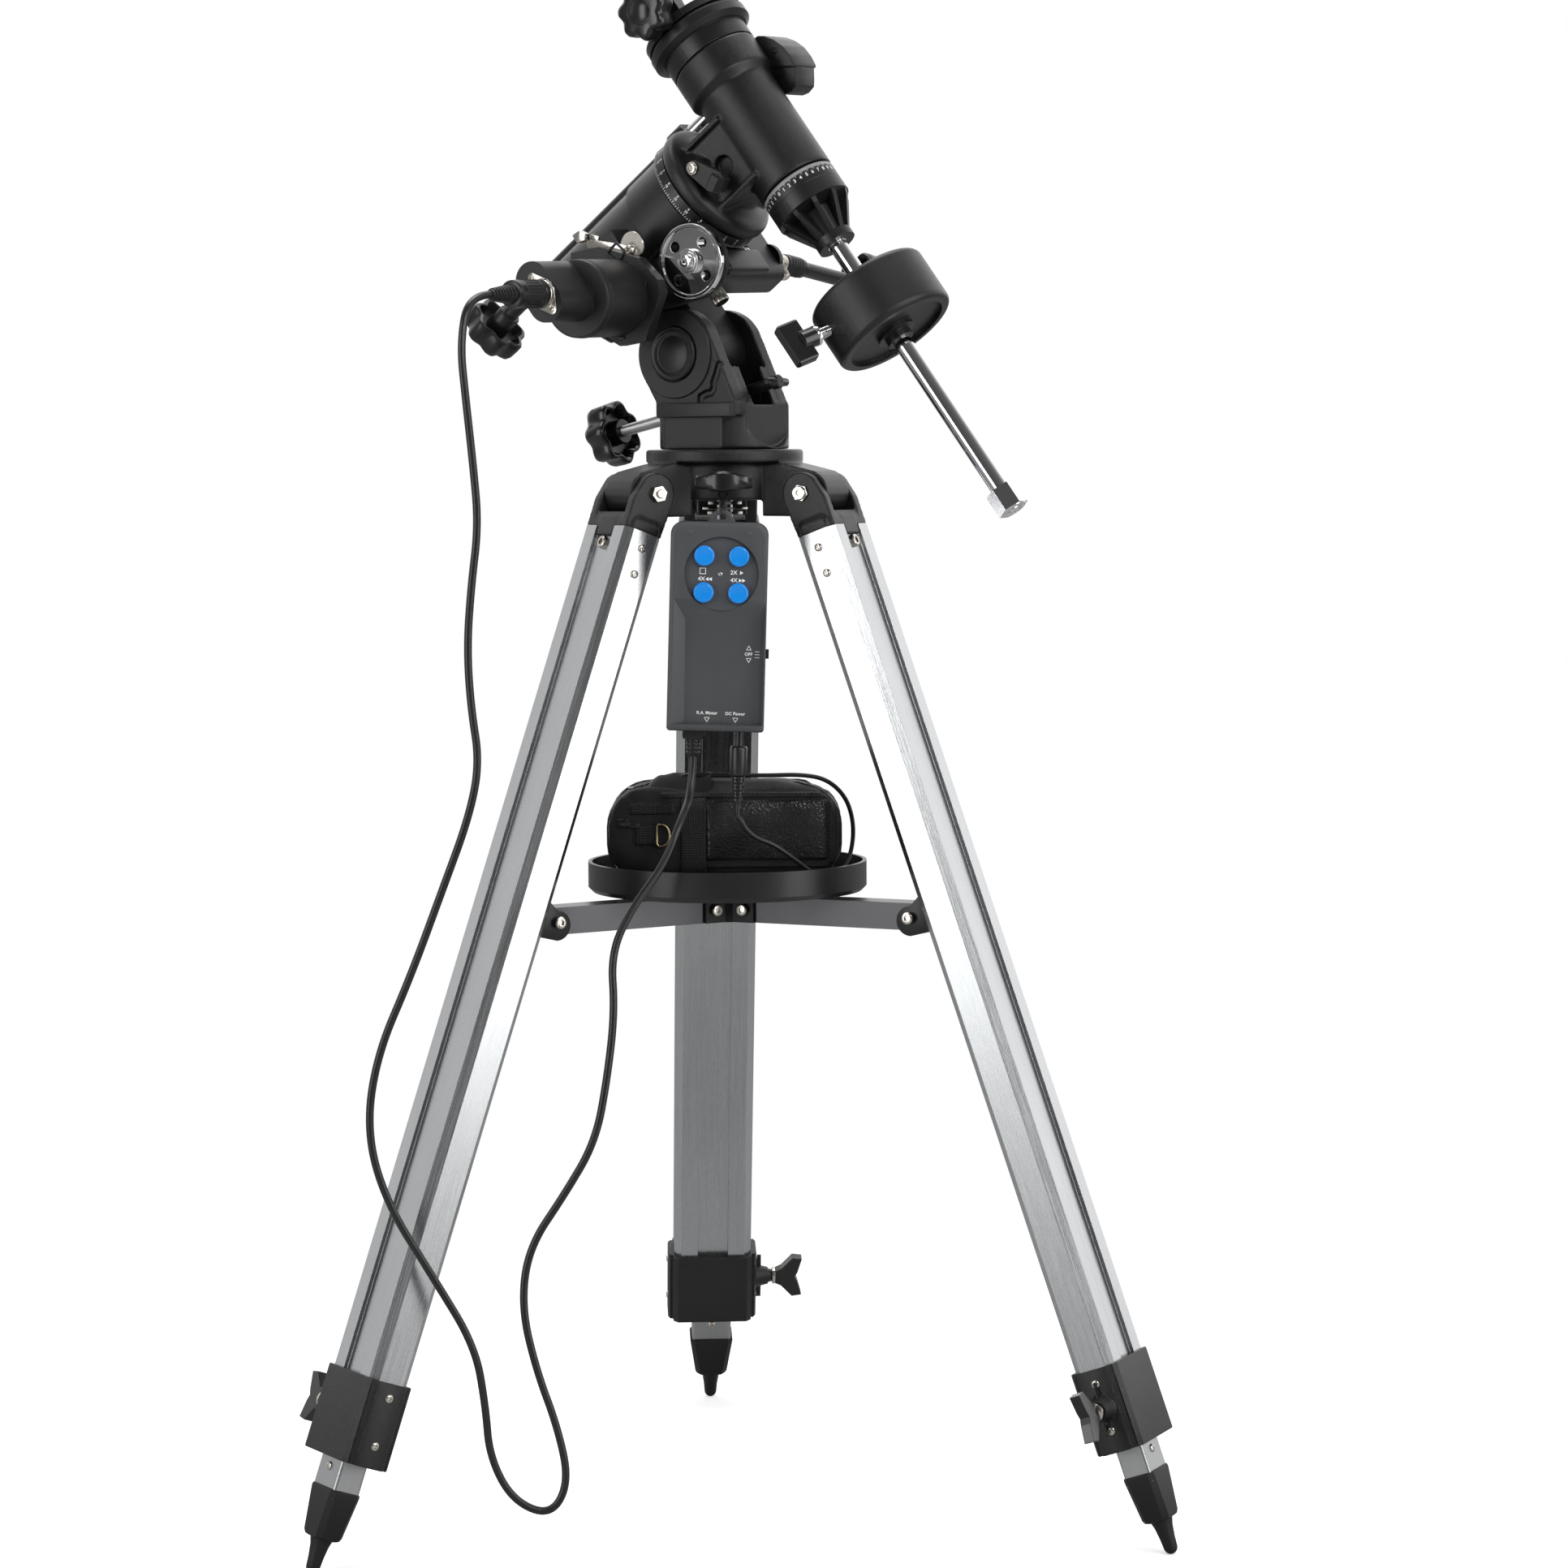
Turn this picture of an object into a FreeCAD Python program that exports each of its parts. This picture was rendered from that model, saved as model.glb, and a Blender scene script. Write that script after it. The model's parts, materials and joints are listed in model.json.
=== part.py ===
"""Motorised equatorial telescope mount on a folding aluminium tripod.

World frame: millimetres, +Z up, origin on the tripod's vertical axis at floor level.
The rear leg points along +Y and the other two stand at 210 and 330 degrees.
Every sub-part is modelled in a simple frame of its own (leg, arm, azimuth, polar,
declination) and then placed, so each size is stated once, in the sheet below.
"""
import FreeCAD, Part
import Sketcher
import math
import os
import re
from FreeCAD import Placement, Rotation, Vector

doc = FreeCAD.newDocument("equatorial_mount_on_tripod")

# ---------------------------------------------------------------- driving dimensions
SIZES = """
hub_rise 28.5          leg pivots to the hub's top face
hub_drop 4.5           leg pivots to the lower edge of the hub's ring
hub_flange_r 51.5
hub_flange_thick 6
hub_ring_r 40
hub_wall 6
hub_deck 11            thickness of the hub's deck, flange included
pivot_reach 67.4       leg pivots, from the vertical axis
pivot_height 673.5     leg pivots, above the floor
pivot_bolt_r 4
lug_half 16.6          half the width of a hub lug
lug_r 11
ear_gap 0.4            side play between a hub lug and its yoke
ear_wall 7.4
leg_splay 20           angle of a leg from the vertical
profile_half 28        half the width of the upper leg extrusion
profile_thick 28
profile_top 27         distance from pivot to the upper end of the extrusion
profile_end 595        distance from pivot to its lower end
profile_corner 5
channel_half 11
profile_web 1.6
tube_half 14.2         half the width of the inner leg tube
tube_thick 19
tube_gap 0.2
tube_start 150         distance from pivot to the inner tube's upper end
collar_start 589
collar_end 643
collar_half 32
collar_thick 33
lock_at 614            distance from pivot to the leg lock screw
lock_r 3
shoe_long 26
spike_long 18.7        from the shoe to where the spike touches the floor
foot_top_r 15.5
foot_low_r 9
spike_r 5
leg_offset 2           extrusion and inner tube, outside the pivot's plane
spreader_at 281        distance from leg pivot to the spreader's pivot
spreader_in 26         how far that pivot stands inside the leg's middle plane
clevis_half 12         half the gap between the ears of the spreader bracket
clevis_wall 3
spreader_pin_r 2.5
arm_half 10            half the width of a spreader arm
arm_deep 17.5
arm_wall 1.5
arm_inner 18           inner arm pivots, from the vertical axis
arm_tail 4             length of the arm behind its inner pivot
hub_pin_r 2
seat_thick 1.6         roof of the spreader hub, under the tray
tray_r 92
tray_wall 2.5
tray_deep 19.6
pouch_left 81
pouch_right 78
pouch_half 29          half the depth of the battery pouch
pouch_tall 70.2
pouch_round 29
center_bolt_r 5
center_knob_r 14
azimuth_screw_r 3
azimuth_down 21        azimuth lock screw, below the hub's top
loop_neck_r 4          neck of the azimuth lock screw, where the controller's loop hangs
azimuth -128.6         turn of the mount head from the rear leg's direction
azimuth_gap 0.1
base_r 42.3
base_tall 30
fork_near 35           outer face of the cheek on the motor's side, from the middle plane
fork_far 24            outer face of the other cheek
fork_in 24             inner face of the near cheek
fork_out 15            inner face of the far cheek
altitude_back 13.7     altitude axle, behind the vertical axis
altitude_rise 61.8     altitude axle, above the hub's top
cheek_r 30
axle_r 6
axle_cap_r 17.4
latitude 36.6          tilt of the polar axis
latitude_rod_r 3.5
latitude_slope 12      slope of the latitude screws
low_screw_rise 21.5    southern latitude screw above the hub's top, 42 mm behind the axis
high_screw_rise 38     northern latitude screw above the hub's top, 20 mm before the axis
polar_above 83.9       polar axis to altitude axle
polar_ahead 121.9      axle to the crossing of the polar and declination axes
polar_roll 3           turn of the polar housing on its bracket
housing_r 38.5
housing_low_r 36.6
housing_top -63.8      upper end of the polar housing, from the crossing of the axes
housing_step -95
housing_end -168
polar_shaft_r 16
wheel_r 35.4
wheel_wide 12
worm_reach 45          polar axis to worm axis
worm_down -72
worm_r 9.3
worm_shaft_r 4
worm_block_half 17
worm_left 46           worm block, away from the motor
worm_right 34          worm block, on the motor's side
clutch_side 28
pulley_r 24.25
pulley_out 7.5         outer face of the chrome pulley, beyond the polar housing's side
belt_wide 5
belt_thick 1.6
belt_gap 0.1
pulley_small_r 10
motor_ahead 36         motor axis, across from the polar axis
motor_down -121.2
motor_r 25
plate_out 12           motor's plate, beyond the chrome pulley's face
motor_plate_thick 8
motor_long 52
socket_long 35
plug_r 8.75
plug_long 33
relief_long 22
dial_r 42
dial_wide 9.5
flange_r 43
flange_low -54
flange_top -41
barrel_r 26
barrel_low 39.9        lower end of the declination barrel
sleeve_r 29.8
sleeve_low -40.5
sleeve_top -62.7
rotor_r 17.8
rotor_gap 0.05
head_low -62.9
lip_low -75
lip_top -87
lip_r 35.5
dec_worm_side -30
dec_worm_up -52
dec_rod_r 4.8
dec_knob_at -262
star_r 22
lever_seat 31          seat of the clutch lever, from the declination plane of symmetry
lever_side -3
lever_up -37
lever_turn 23.6
lever_long 25
lever_thick 7
dec_dial_r 25.7
dec_dial_end 51
cone_end 89
cone_small_r 13
bar_r 6
bar_end 296
toe_from 285
toe_r 10.5
weight_r 41
weight_top 122
weight_end 161.5
weight_screw_turn 31   direction of the weight's lock screw round the bar
control_tilt 13        droop of the flexible control
control_end 108
jaw_gap 22.3           half the width of the saddle's dovetail slot
jaw_wall 9
jaw_height 18
saddle_length 36
front_turn -3.6        turn of the hand controller to the front
controller_hang 25.5   top of the controller's case, below the azimuth lock screw
controller_half 31.2
controller_tall 137
controller_thick 26
controller_ahead 64.5
controller_side -2.2
controller_lean 1.8
slot_high 1.6          lower edge of the slot in the controller's lug, above its case
loop_d 1.2
button_r 6.5
button_travel 1.5
button_gap 0.1
button_high 23
button_low 46.5
button_side 11.2
gland_side -18.5
jack_side 10
cable_d 5
power_d 3
"""

sheet = doc.addObject("Spreadsheet::Sheet", "Sizes")
NAMES = []
for row, line in enumerate(SIZES.strip().splitlines(), start=1):
    name, number = line.split()[:2]
    sheet.set(f"A{row}", name)
    sheet.set(f"B{row}", number)
    sheet.setAlias(f"B{row}", name)
    NAMES.append(name)
doc.recompute()
WORDS = re.compile(r"\b(" + "|".join(NAMES) + r")\b")

# Heights above the floor, places along the motor's axis and distances down a leg that follow.
FOLLOWS = {
    "hub_top": "(pivot_height+hub_rise)",
    "hub_bottom": "(pivot_height-hub_drop)",
    "screw_height": "(hub_top-azimuth_down)",
    "controller_top": "(screw_height-controller_hang)",
    "base_top": "(hub_top+base_tall)",
    "altitude_height": "(hub_top+altitude_rise)",
    "latitude_low": "(hub_top+low_screw_rise)",
    "latitude_high": "(hub_top+high_screw_rise)",
    "arm_height": "(pivot_height-spreader_at*cos(leg_splay)-spreader_in*sin(leg_splay))",
    "arm_top": "(arm_height+arm_deep/2+1.1)",
    "tray_floor": "(arm_top+seat_thick)",
    "tray_rim": "(tray_floor+tray_deep)",
    "pouch_bottom": "(tray_floor+tray_wall+0.3)",
    "pouch_top": "(pouch_bottom+pouch_tall)",
    "pulley_at": "(housing_r+pulley_out)",
    "motor_plate_at": "(pulley_at+plate_out)",
    "motor_end": "(motor_plate_at+motor_long)",
    "socket_end": "(motor_end+socket_long)",
    "plug_end": "(socket_end+plug_long)",
    "relief_end": "(plug_end+relief_long)",
    "leg_end": "((pivot_height+leg_offset*sin(leg_splay)-spike_r+0.5)/cos(leg_splay))",
    "foot_end": "(leg_end-spike_long)",
    "tube_end": "(foot_end-shoe_long)",
}
FOLLOWERS = re.compile(r"\b(" + "|".join(FOLLOWS) + r")\b")


def fx(text):
    """An expression that reads the named sizes from the sheet."""
    text = str(text)
    while FOLLOWERS.search(text):
        text = FOLLOWERS.sub(lambda word: FOLLOWS[word.group()], text)
    return WORDS.sub(r"Sizes.\1", text)


def num(text):
    """The present value of such an expression, as a plain number."""
    return float(sheet.evalExpression(fx(text)))


# ---------------------------------------------------------------- shape helpers
TURN = {"Z": Rotation(), "X": Rotation(Vector(0, 1, 0), 90), "Y": Rotation(Vector(1, 0, 0), -90)}


def primitive(kind, at, turn=None, **sizes):
    """A Part primitive whose sizes and place are bound to the sheet."""
    piece = doc.addObject("Part::" + kind, kind)
    if turn is not None:
        piece.Placement = Placement(Vector(), turn)
    for prop, text in sizes.items():
        piece.setExpression(prop, fx(text))
    for axis, text in zip("xyz", at):
        piece.setExpression("Placement.Base." + axis, fx(text))
    return piece


def box(x0, x1, y0, y1, z0, z1):
    return primitive("Box", (x0, y0, z0), Length=f"({x1})-({x0})",
                     Width=f"({y1})-({y0})", Height=f"({z1})-({z0})")


def along(axis, start, across):
    """Place of a body of revolution that starts at START on an axis-parallel line."""
    a, b = across
    return {"Z": (a, b, start), "X": (start, a, b), "Y": (a, start, b)}[axis]


def rod(radius, start, end, axis="Z", across=("0", "0")):
    return primitive("Cylinder", along(axis, start, across), TURN[axis],
                     Radius=radius, Height=f"({end})-({start})")


def cone(radius1, radius2, start, end, axis="Z", across=("0", "0")):
    return primitive("Cone", along(axis, start, across), TURN[axis],
                     Radius1=radius1, Radius2=radius2, Height=f"({end})-({start})")


def hexagon(radius, start, end, axis="Z", across=("0", "0")):
    return primitive("Prism", along(axis, start, across), TURN[axis],
                     Polygon="6", Circumradius=radius, Height=f"({end})-({start})")


def ball(radius, at):
    return primitive("Sphere", at, Radius=radius)


def sketched(plane, points):
    """A body with one closed sketch whose corners are bound to the sheet."""
    body = doc.addObject("PartDesign::Body", "Body")
    sketch = body.newObject("Sketcher::SketchObject", "Sketch")
    base = [o for o in body.Origin.OriginFeatures if o.Role == plane + "_Plane"][0]
    sketch.AttachmentSupport = [(base, "")]
    sketch.MapMode = "FlatFace"
    corners = [Vector(num(x), num(y), 0) for x, y in points]
    for i, corner in enumerate(corners):
        sketch.addGeometry(Part.LineSegment(corner, corners[(i + 1) % len(corners)]), False)
    for i, (x, y) in enumerate(points):
        sketch.addConstraint(Sketcher.Constraint("Coincident", i - 1 if i else len(points) - 1, 2, i, 1))
        for kind, text in (("DistanceX", x), ("DistanceY", y)):
            index = sketch.addConstraint(Sketcher.Constraint(kind, -1, 1, i, 1, num(text)))
            sketch.setExpression(f"Constraints[{index}]", fx(text))
    return body, sketch


def turned(points):
    """A body turned round Z from corners given as (radius, height)."""
    body, sketch = sketched("XZ", points)
    lathe = body.newObject("PartDesign::Revolution", "Revolution")
    lathe.Profile = sketch
    lathe.ReferenceAxis = (sketch, ["V_Axis"])
    lathe.Angle = 360
    return body


def plate(plane, points, start, end):
    """A body padded from an outline; XY pads along Z and YZ pads along X."""
    body, sketch = sketched(plane, points)
    pad = body.newObject("PartDesign::Pad", "Pad")
    pad.Profile = sketch
    pad.setExpression("Length", fx(f"({end})-({start})"))
    sketch.setExpression("AttachmentOffset.Base.z", fx(start))
    return body


def fuse(*pieces):
    join = doc.addObject("Part::MultiFuse", "Fuse")
    join.Shapes = list(pieces)
    join.Refine = True
    return join


def cut(base, *tools):
    difference = doc.addObject("Part::Cut", "Cut")
    difference.Base = base
    difference.Tool = tools[0] if len(tools) == 1 else group(*tools)
    difference.Refine = True
    return difference


def group(*pieces):
    compound = doc.addObject("Part::Compound", "Compound")
    compound.Links = list(pieces)
    return compound


def moved(piece, placement):
    """The piece in a place of its own, whatever its own placement is bound to."""
    holder = group(piece)
    holder.Placement = placement
    return holder


def rounded(piece, radius, pick):
    """Fillet the edges that PICK chooses by their shape and place."""
    doc.recompute()
    fillet = doc.addObject("Part::Fillet", "Fillet")
    fillet.Base = piece
    size = num(radius)
    fillet.Edges = [(i, size, size) for i, edge in enumerate(piece.Shape.Edges, start=1) if pick(edge)]
    return fillet


def runs_along(edge, axis):
    """True for a straight edge parallel to X, Y or Z."""
    if not isinstance(edge.Curve, Part.Line):
        return False
    return abs(getattr(edge.Curve.Direction, axis.lower())) > 0.999


def ring_at(edge, axis, height, radius=None):
    """True for a circle round AXIS at this height, and of this radius if it is given."""
    if not isinstance(edge.Curve, Part.Circle):
        return False
    centre = getattr(edge.Curve.Center, axis.lower())
    if abs(centre - num(height)) > 0.01 or abs(getattr(edge.Curve.Axis, axis.lower())) < 0.99:
        return False
    return radius is None or abs(edge.Curve.Radius - num(radius)) < 0.01


def star_knob(start, end, radius="star_r", axis="Z", across=("0", "0")):
    """A round knob with seven finger hollows, along the chosen axis."""
    doc.recompute()
    size, depth = num(radius), num(end) - num(start)
    blank = rod(radius, start, end, axis, across)
    hollows = []
    for i in range(7):
        turn = math.radians(i * 360 / 7)
        a = f"({across[0]})+({radius})*1.16*{math.cos(turn):.6f}"
        b = f"({across[1]})+({radius})*1.16*{math.sin(turn):.6f}"
        hollows.append(rod(f"({radius})*0.32", f"({start})-1", f"({end})+1", axis, (a, b)))
    cupped = cut(blank, *hollows)
    ends = [num(start), num(end)]
    lower = axis.lower()

    def rim(edge):
        place = getattr(edge.BoundBox.Center, lower)
        flat = edge.BoundBox.DiagonalLength > 1 and getattr(edge.BoundBox, axis + "Length") < 1e-4
        return flat and min(abs(place - e) for e in ends) < 1e-3
    return rounded(cupped, f"{min(size * 0.08, depth * 0.2):.3f}", rim)


def wing(start, end, half, thick, axis="X", across=("0", "0")):
    """The flat wings of a lock screw, across its axis along Z."""
    a, b = across
    if axis == "X":
        blank = box(start, end, f"({a})-({thick})/2", f"({a})+({thick})/2", f"({b})-({half})", f"({b})+({half})")
    else:
        blank = box(f"({a})-({half})", f"({a})+({half})", start, end, f"({b})-({thick})/2", f"({b})+({thick})/2")
    return rounded(blank, "2", lambda edge: not runs_along(edge, "Z" if axis == "X" else "X"))


# ---------------------------------------------------------------- frames
def frame(*steps):
    """Placements multiplied from left to right."""
    whole = Placement()
    for step in steps:
        whole = whole.multiply(step)
    return whole


def shift(x, y, z):
    return Placement(Vector(num(x), num(y), num(z)), Rotation())


def spin(axis, degrees):
    vectors = {"X": Vector(1, 0, 0), "Y": Vector(0, 1, 0), "Z": Vector(0, 0, 1)}
    return Placement(Vector(), Rotation(vectors[axis], num(degrees)))


LEG_TURNS = (90, 210, 330)
WORLD = Placement()
AZIMUTH = spin("Z", "azimuth")                      # X east-west, Y to the pole, Z up
ALTITUDE = frame(AZIMUTH, shift("0", "-altitude_back", "altitude_height"), spin("X", "latitude-90"))
POLAR = frame(ALTITUDE, shift("0", "-polar_above", "polar_ahead"), spin("Z", "polar_roll"))
DECLINATION = frame(POLAR, spin("X", "-90"))        # Z down the counterweight bar
CONTROL = frame(POLAR, shift("-worm_left-4", "worm_reach", "worm_down"),
                spin("Y", "-90"), spin("X", "-control_tilt"))
HAND = frame(spin("Z", "front_turn"), shift("controller_side", "-controller_ahead", "controller_top"),
             spin("Y", "controller_lean"))


def leg_frame(turn):
    """Origin on the leg's pivot, X along the pivot, Y outward, Z up the leg."""
    return frame(spin("Z", turn - 90), shift("0", "pivot_reach", "pivot_height"), spin("X", "leg_splay"))


def arm_frame(turn):
    """Origin on the vertical axis at arm height, Y along the arm."""
    return frame(spin("Z", turn - 90), shift("0", "0", "arm_height"))


NODES = []


def node(name, piece, placement=WORLD):
    """Name a finished sub-part and put it in its place."""
    holder = doc.addObject("Part::Compound", name)
    holder.Links = [piece]
    holder.Label = name
    holder.Placement = placement
    NODES.append(holder)


# ---------------------------------------------------------------- tripod hub
def tripod_hub():
    inner = "hub_ring_r-hub_wall"
    bore = "center_bolt_r+0.4"
    casting = turned([(inner, "hub_bottom"), ("hub_ring_r", "hub_bottom"),
                      ("hub_ring_r", "hub_top-hub_flange_thick"),
                      ("hub_flange_r", "hub_top-hub_flange_thick"), ("hub_flange_r", "hub_top"),
                      (bore, "hub_top"), (bore, "hub_top-hub_deck"), (inner, "hub_top-hub_deck")])
    lugs = []
    for turn in LEG_TURNS:
        web = box("-lug_half", "lug_half", "hub_ring_r-2", "pivot_reach",
                  "hub_bottom", "pivot_height+lug_r")
        nose = rod("lug_r", "-lug_half", "lug_half", "X", ("pivot_reach", "pivot_height"))
        roof = box("-lug_half", "lug_half", "hub_ring_r-2", "hub_flange_r-3",
                   "pivot_height", "hub_top-hub_flange_thick+1")
        hole = rod("pivot_bolt_r+0.05", "-lug_half-1", "lug_half+1", "X", ("pivot_reach", "pivot_height"))
        lugs.append(moved(cut(fuse(web, nose, roof), hole), spin("Z", turn - 90)))
    screw_hole = rod("azimuth_screw_r+0.3", "-hub_ring_r-1", "-hub_ring_r+hub_wall+1", "Y", ("0", "screw_height"))
    casting = cut(fuse(casting, *lugs), moved(screw_hole, spin("Z", "front_turn")))
    node("tripod_hub", casting)


def leg_pivot_bolts():
    over = "lug_half+ear_gap+ear_wall"
    bolts = []
    for turn in LEG_TURNS:
        shank = rod("pivot_bolt_r", f"-({over})-4.5", over, "X")
        head = hexagon("7.4", over, f"({over})+4.6", "X")
        socket = hexagon("3.4", f"({over})+2", f"({over})+5", "X")
        nut = cut(hexagon("7.4", f"-({over})-4", f"-({over})", "X"),
                  rod("pivot_bolt_r", f"-({over})-5", f"-({over})+1", "X"))
        place = frame(leg_frame(turn))
        bolts += [moved(cut(fuse(shank, head), socket), place), moved(nut, place)]
    node("leg_pivot_bolts", group(*bolts))


def center_bolt():
    """The long bolt that draws the mount head down on the hub, with its knob."""
    low = "hub_bottom-24"
    shank = rod("center_bolt_r", low, "hub_top+16")
    washers = [rod("11", "hub_top-hub_deck-3", "hub_top-hub_deck-0.3"),
               rod("9", "hub_bottom+3", "hub_bottom+6"), rod("11", "hub_bottom-3", "hub_bottom-1")]
    knob = rod("center_knob_r", low, f"{low}+6")
    grips = [rod("3", f"{low}-1", f"{low}+7", "Z",
                 (f"(center_knob_r+1)*{math.cos(i * math.pi / 4):.6f}",
                  f"(center_knob_r+1)*{math.sin(i * math.pi / 4):.6f}")) for i in range(8)]
    node("center_bolt", fuse(shank, *washers, cut(knob, *grips)))


def azimuth_lock_screw():
    """The wing screw in the hub's front that brakes the turning head."""
    height = "screw_height"
    shank = rod("azimuth_screw_r", "-hub_ring_r-13", "-center_bolt_r-14", "Y", ("0", height))
    neck = rod("loop_neck_r", "-hub_ring_r-15", "-hub_ring_r-0.3", "Y", ("0", height))
    wings = plate("XZ", [("-18.5", f"{height}-5"), ("-10", f"{height}-5.4"), ("0", f"{height}-6.4"),
                         ("10", f"{height}-5.4"), ("18.5", f"{height}-3"), ("18.5", f"{height}+5"),
                         ("9", f"{height}+5.6"), ("0", f"{height}+7.4"), ("-9", f"{height}+5.6"),
                         ("-18.5", f"{height}+3")], "hub_ring_r+14", "hub_ring_r+23")
    node("azimuth_lock_screw", fuse(shank, neck, wings), spin("Z", "front_turn"))


# ---------------------------------------------------------------- one leg
def outer(place):
    """The frame of the extrusion, tube and foot of a leg."""
    return frame(place, shift("0", "leg_offset", "0"))


def channel_profile():
    """Section of the upper extrusion: chamfered corners and a channel in both faces."""
    half, deep, corner = "profile_half", "profile_thick/2", "profile_corner"
    channel, floor = "channel_half", "(tube_thick/2+tube_gap+profile_web)"
    quarter = [(half, "0"), (half, f"{deep}-{corner}"), (f"{half}-{corner}", deep),
               (channel, deep), (channel, floor)]
    outline = quarter[1:]
    outline += [(f"-({x})", y) for x, y in reversed(quarter[1:])]
    outline += [(f"-({x})", f"-({y})") for x, y in quarter[1:]]
    outline += [(x, f"-({y})") for x, y in reversed(quarter[1:])]
    return outline


def leg_profile(number, place):
    solid = plate("XY", channel_profile(), "-profile_end", "-profile_top")
    hollow_x = "tube_half+tube_gap"
    hollow_y = "tube_thick/2+tube_gap"
    bore = box(f"-({hollow_x})", hollow_x, f"-({hollow_y})", hollow_y, "-profile_end-1", "-profile_top+1")
    side = []
    for sign in ("", "-"):
        near, far = f"{sign}(tube_half+tube_gap+2)", f"{sign}(profile_half-2)"
        x0, x1 = (near, far) if not sign else (far, near)
        side.append(box(x0, x1, "-profile_thick/2+6", "profile_thick/2-6", "-profile_end-1", "-profile_top-30"))
    node(f"leg_profile_{number}", cut(solid, bore, *side), outer(place))


def leg_castings(number, place):
    """The yoke, the clamp collar and the spreader bracket that are riveted on one leg."""
    ear_in = "lug_half+ear_gap"
    ear_out = "lug_half+ear_gap+ear_wall"
    ears = []
    for x0, x1 in ((ear_in, ear_out), (f"-({ear_out})", f"-({ear_in})")):
        ears.append(rod("13", x0, x1, "X"))
        ears.append(box(x0, x1, "-11", "11", "-profile_top+1", "0"))
    saddle = box("-profile_half+1", "profile_half-1", "leg_offset-profile_thick/2+0.5",
                 "leg_offset+profile_thick/2-0.5", "-profile_top", "-15")
    tongue = box("-tube_half", "tube_half", "leg_offset-5.5", "leg_offset+5.5", "-profile_top-28", "-profile_top+1")
    yoke = cut(fuse(*ears, saddle, tongue), rod("pivot_bolt_r+0.02", "-40", "40", "X"))
    yoke = rounded(yoke, "2", lambda e: runs_along(e, "Z") and abs(abs(e.BoundBox.Center.x) - num("profile_half-1")) < 0.1)

    shell = box("-collar_half", "collar_half", "-collar_thick/2", "collar_thick/2", "-collar_end", "-collar_start")
    shell = rounded(shell, "7", lambda e: runs_along(e, "Z"))
    seat = box("-profile_half-0.1", "profile_half+0.1", "-profile_thick/2-0.1", "profile_thick/2+0.1",
               "-profile_end", "-collar_start+1")
    way = box("-tube_half-tube_gap", "tube_half+tube_gap", "-tube_thick/2-tube_gap", "tube_thick/2+tube_gap",
              "-collar_end-1", "-collar_start")
    thread = rod("lock_r+0.05", "tube_half", "collar_half+8", "X", ("0", "-lock_at"))
    boss = rod("8", "collar_half-2", "collar_half+4", "X", ("0", "-lock_at"))
    collar = moved(cut(fuse(shell, boss), seat, way, thread), shift("0", "leg_offset", "0"))

    foot_of_clevis = "leg_offset-profile_thick/2"
    back = box("-clevis_half-clevis_wall", "clevis_half+clevis_wall", f"{foot_of_clevis}-2.5", foot_of_clevis,
               "-spreader_at-13", "-spreader_at+13")
    cheeks = []
    for x0, x1 in (("clevis_half", "clevis_half+clevis_wall"), ("-clevis_half-clevis_wall", "-clevis_half")):
        cheeks.append(box(x0, x1, "-spreader_in", f"{foot_of_clevis}-2", "-spreader_at-6", "-spreader_at+6"))
        cheeks.append(rod("6", x0, x1, "X", ("-spreader_in", "-spreader_at")))
    pin = rod("spreader_pin_r", "-clevis_half-clevis_wall-2.5", "clevis_half+clevis_wall+2.5", "X",
              ("-spreader_in", "-spreader_at"))
    node(f"leg_castings_{number}", group(yoke, collar, fuse(back, *cheeks, pin)), place)


def leg_lock(number, place):
    """A butterfly screw that clamps the inner tube."""
    shank = rod("lock_r", "tube_half+tube_gap+0.1", "collar_half+18", "X", ("0", "-lock_at"))
    boss = cone("6.5", "4.5", "collar_half+4.2", "collar_half+12", "X", ("0", "-lock_at"))
    wings = plate("XZ", [("collar_half+14", "-lock_at-4.5"), ("collar_half+19", "-lock_at-7"),
                         ("collar_half+27", "-lock_at-16"), ("collar_half+34", "-lock_at-15"),
                         ("collar_half+31", "-lock_at-4"), ("collar_half+29", "-lock_at"),
                         ("collar_half+31", "-lock_at+4"), ("collar_half+34", "-lock_at+15"),
                         ("collar_half+27", "-lock_at+16"), ("collar_half+19", "-lock_at+7"),
                         ("collar_half+14", "-lock_at+4.5")], "-3.5", "3.5")
    node(f"leg_lock_{number}", fuse(shank, boss, wings), outer(place))


def leg_tube(number, place):
    wall = "1.6"
    skin = box("-tube_half", "tube_half", "-tube_thick/2", "tube_thick/2", "-tube_end", "-tube_start")
    skin = rounded(skin, "2", lambda e: runs_along(e, "Z"))
    hollow = box(f"-tube_half+{wall}", f"tube_half-{wall}", f"-tube_thick/2+{wall}", f"tube_thick/2-{wall}",
                 "-tube_end-1", "-tube_start+1")
    node(f"leg_tube_{number}", cut(skin, hollow), outer(place))


def leg_foot(number, place):
    """A tapered shoe with a rounded spike, cut flat where it meets the floor."""
    shoe = cone("foot_low_r", "foot_top_r", "-foot_end", "-tube_end")
    shoe = fuse(shoe, rod("spike_r", "-leg_end", "-foot_end+1"), ball("spike_r", ("0", "0", "-leg_end")))
    floor = primitive("Box", ("-400", "-400", "-20"), Length="800", Width="800", Height="20")
    above = doc.addObject("Part::Compound", "Compound")
    above.Links = [floor]
    above.Placement = outer(place).inverse()
    node(f"leg_foot_{number}", cut(shoe, above), outer(place))


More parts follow.
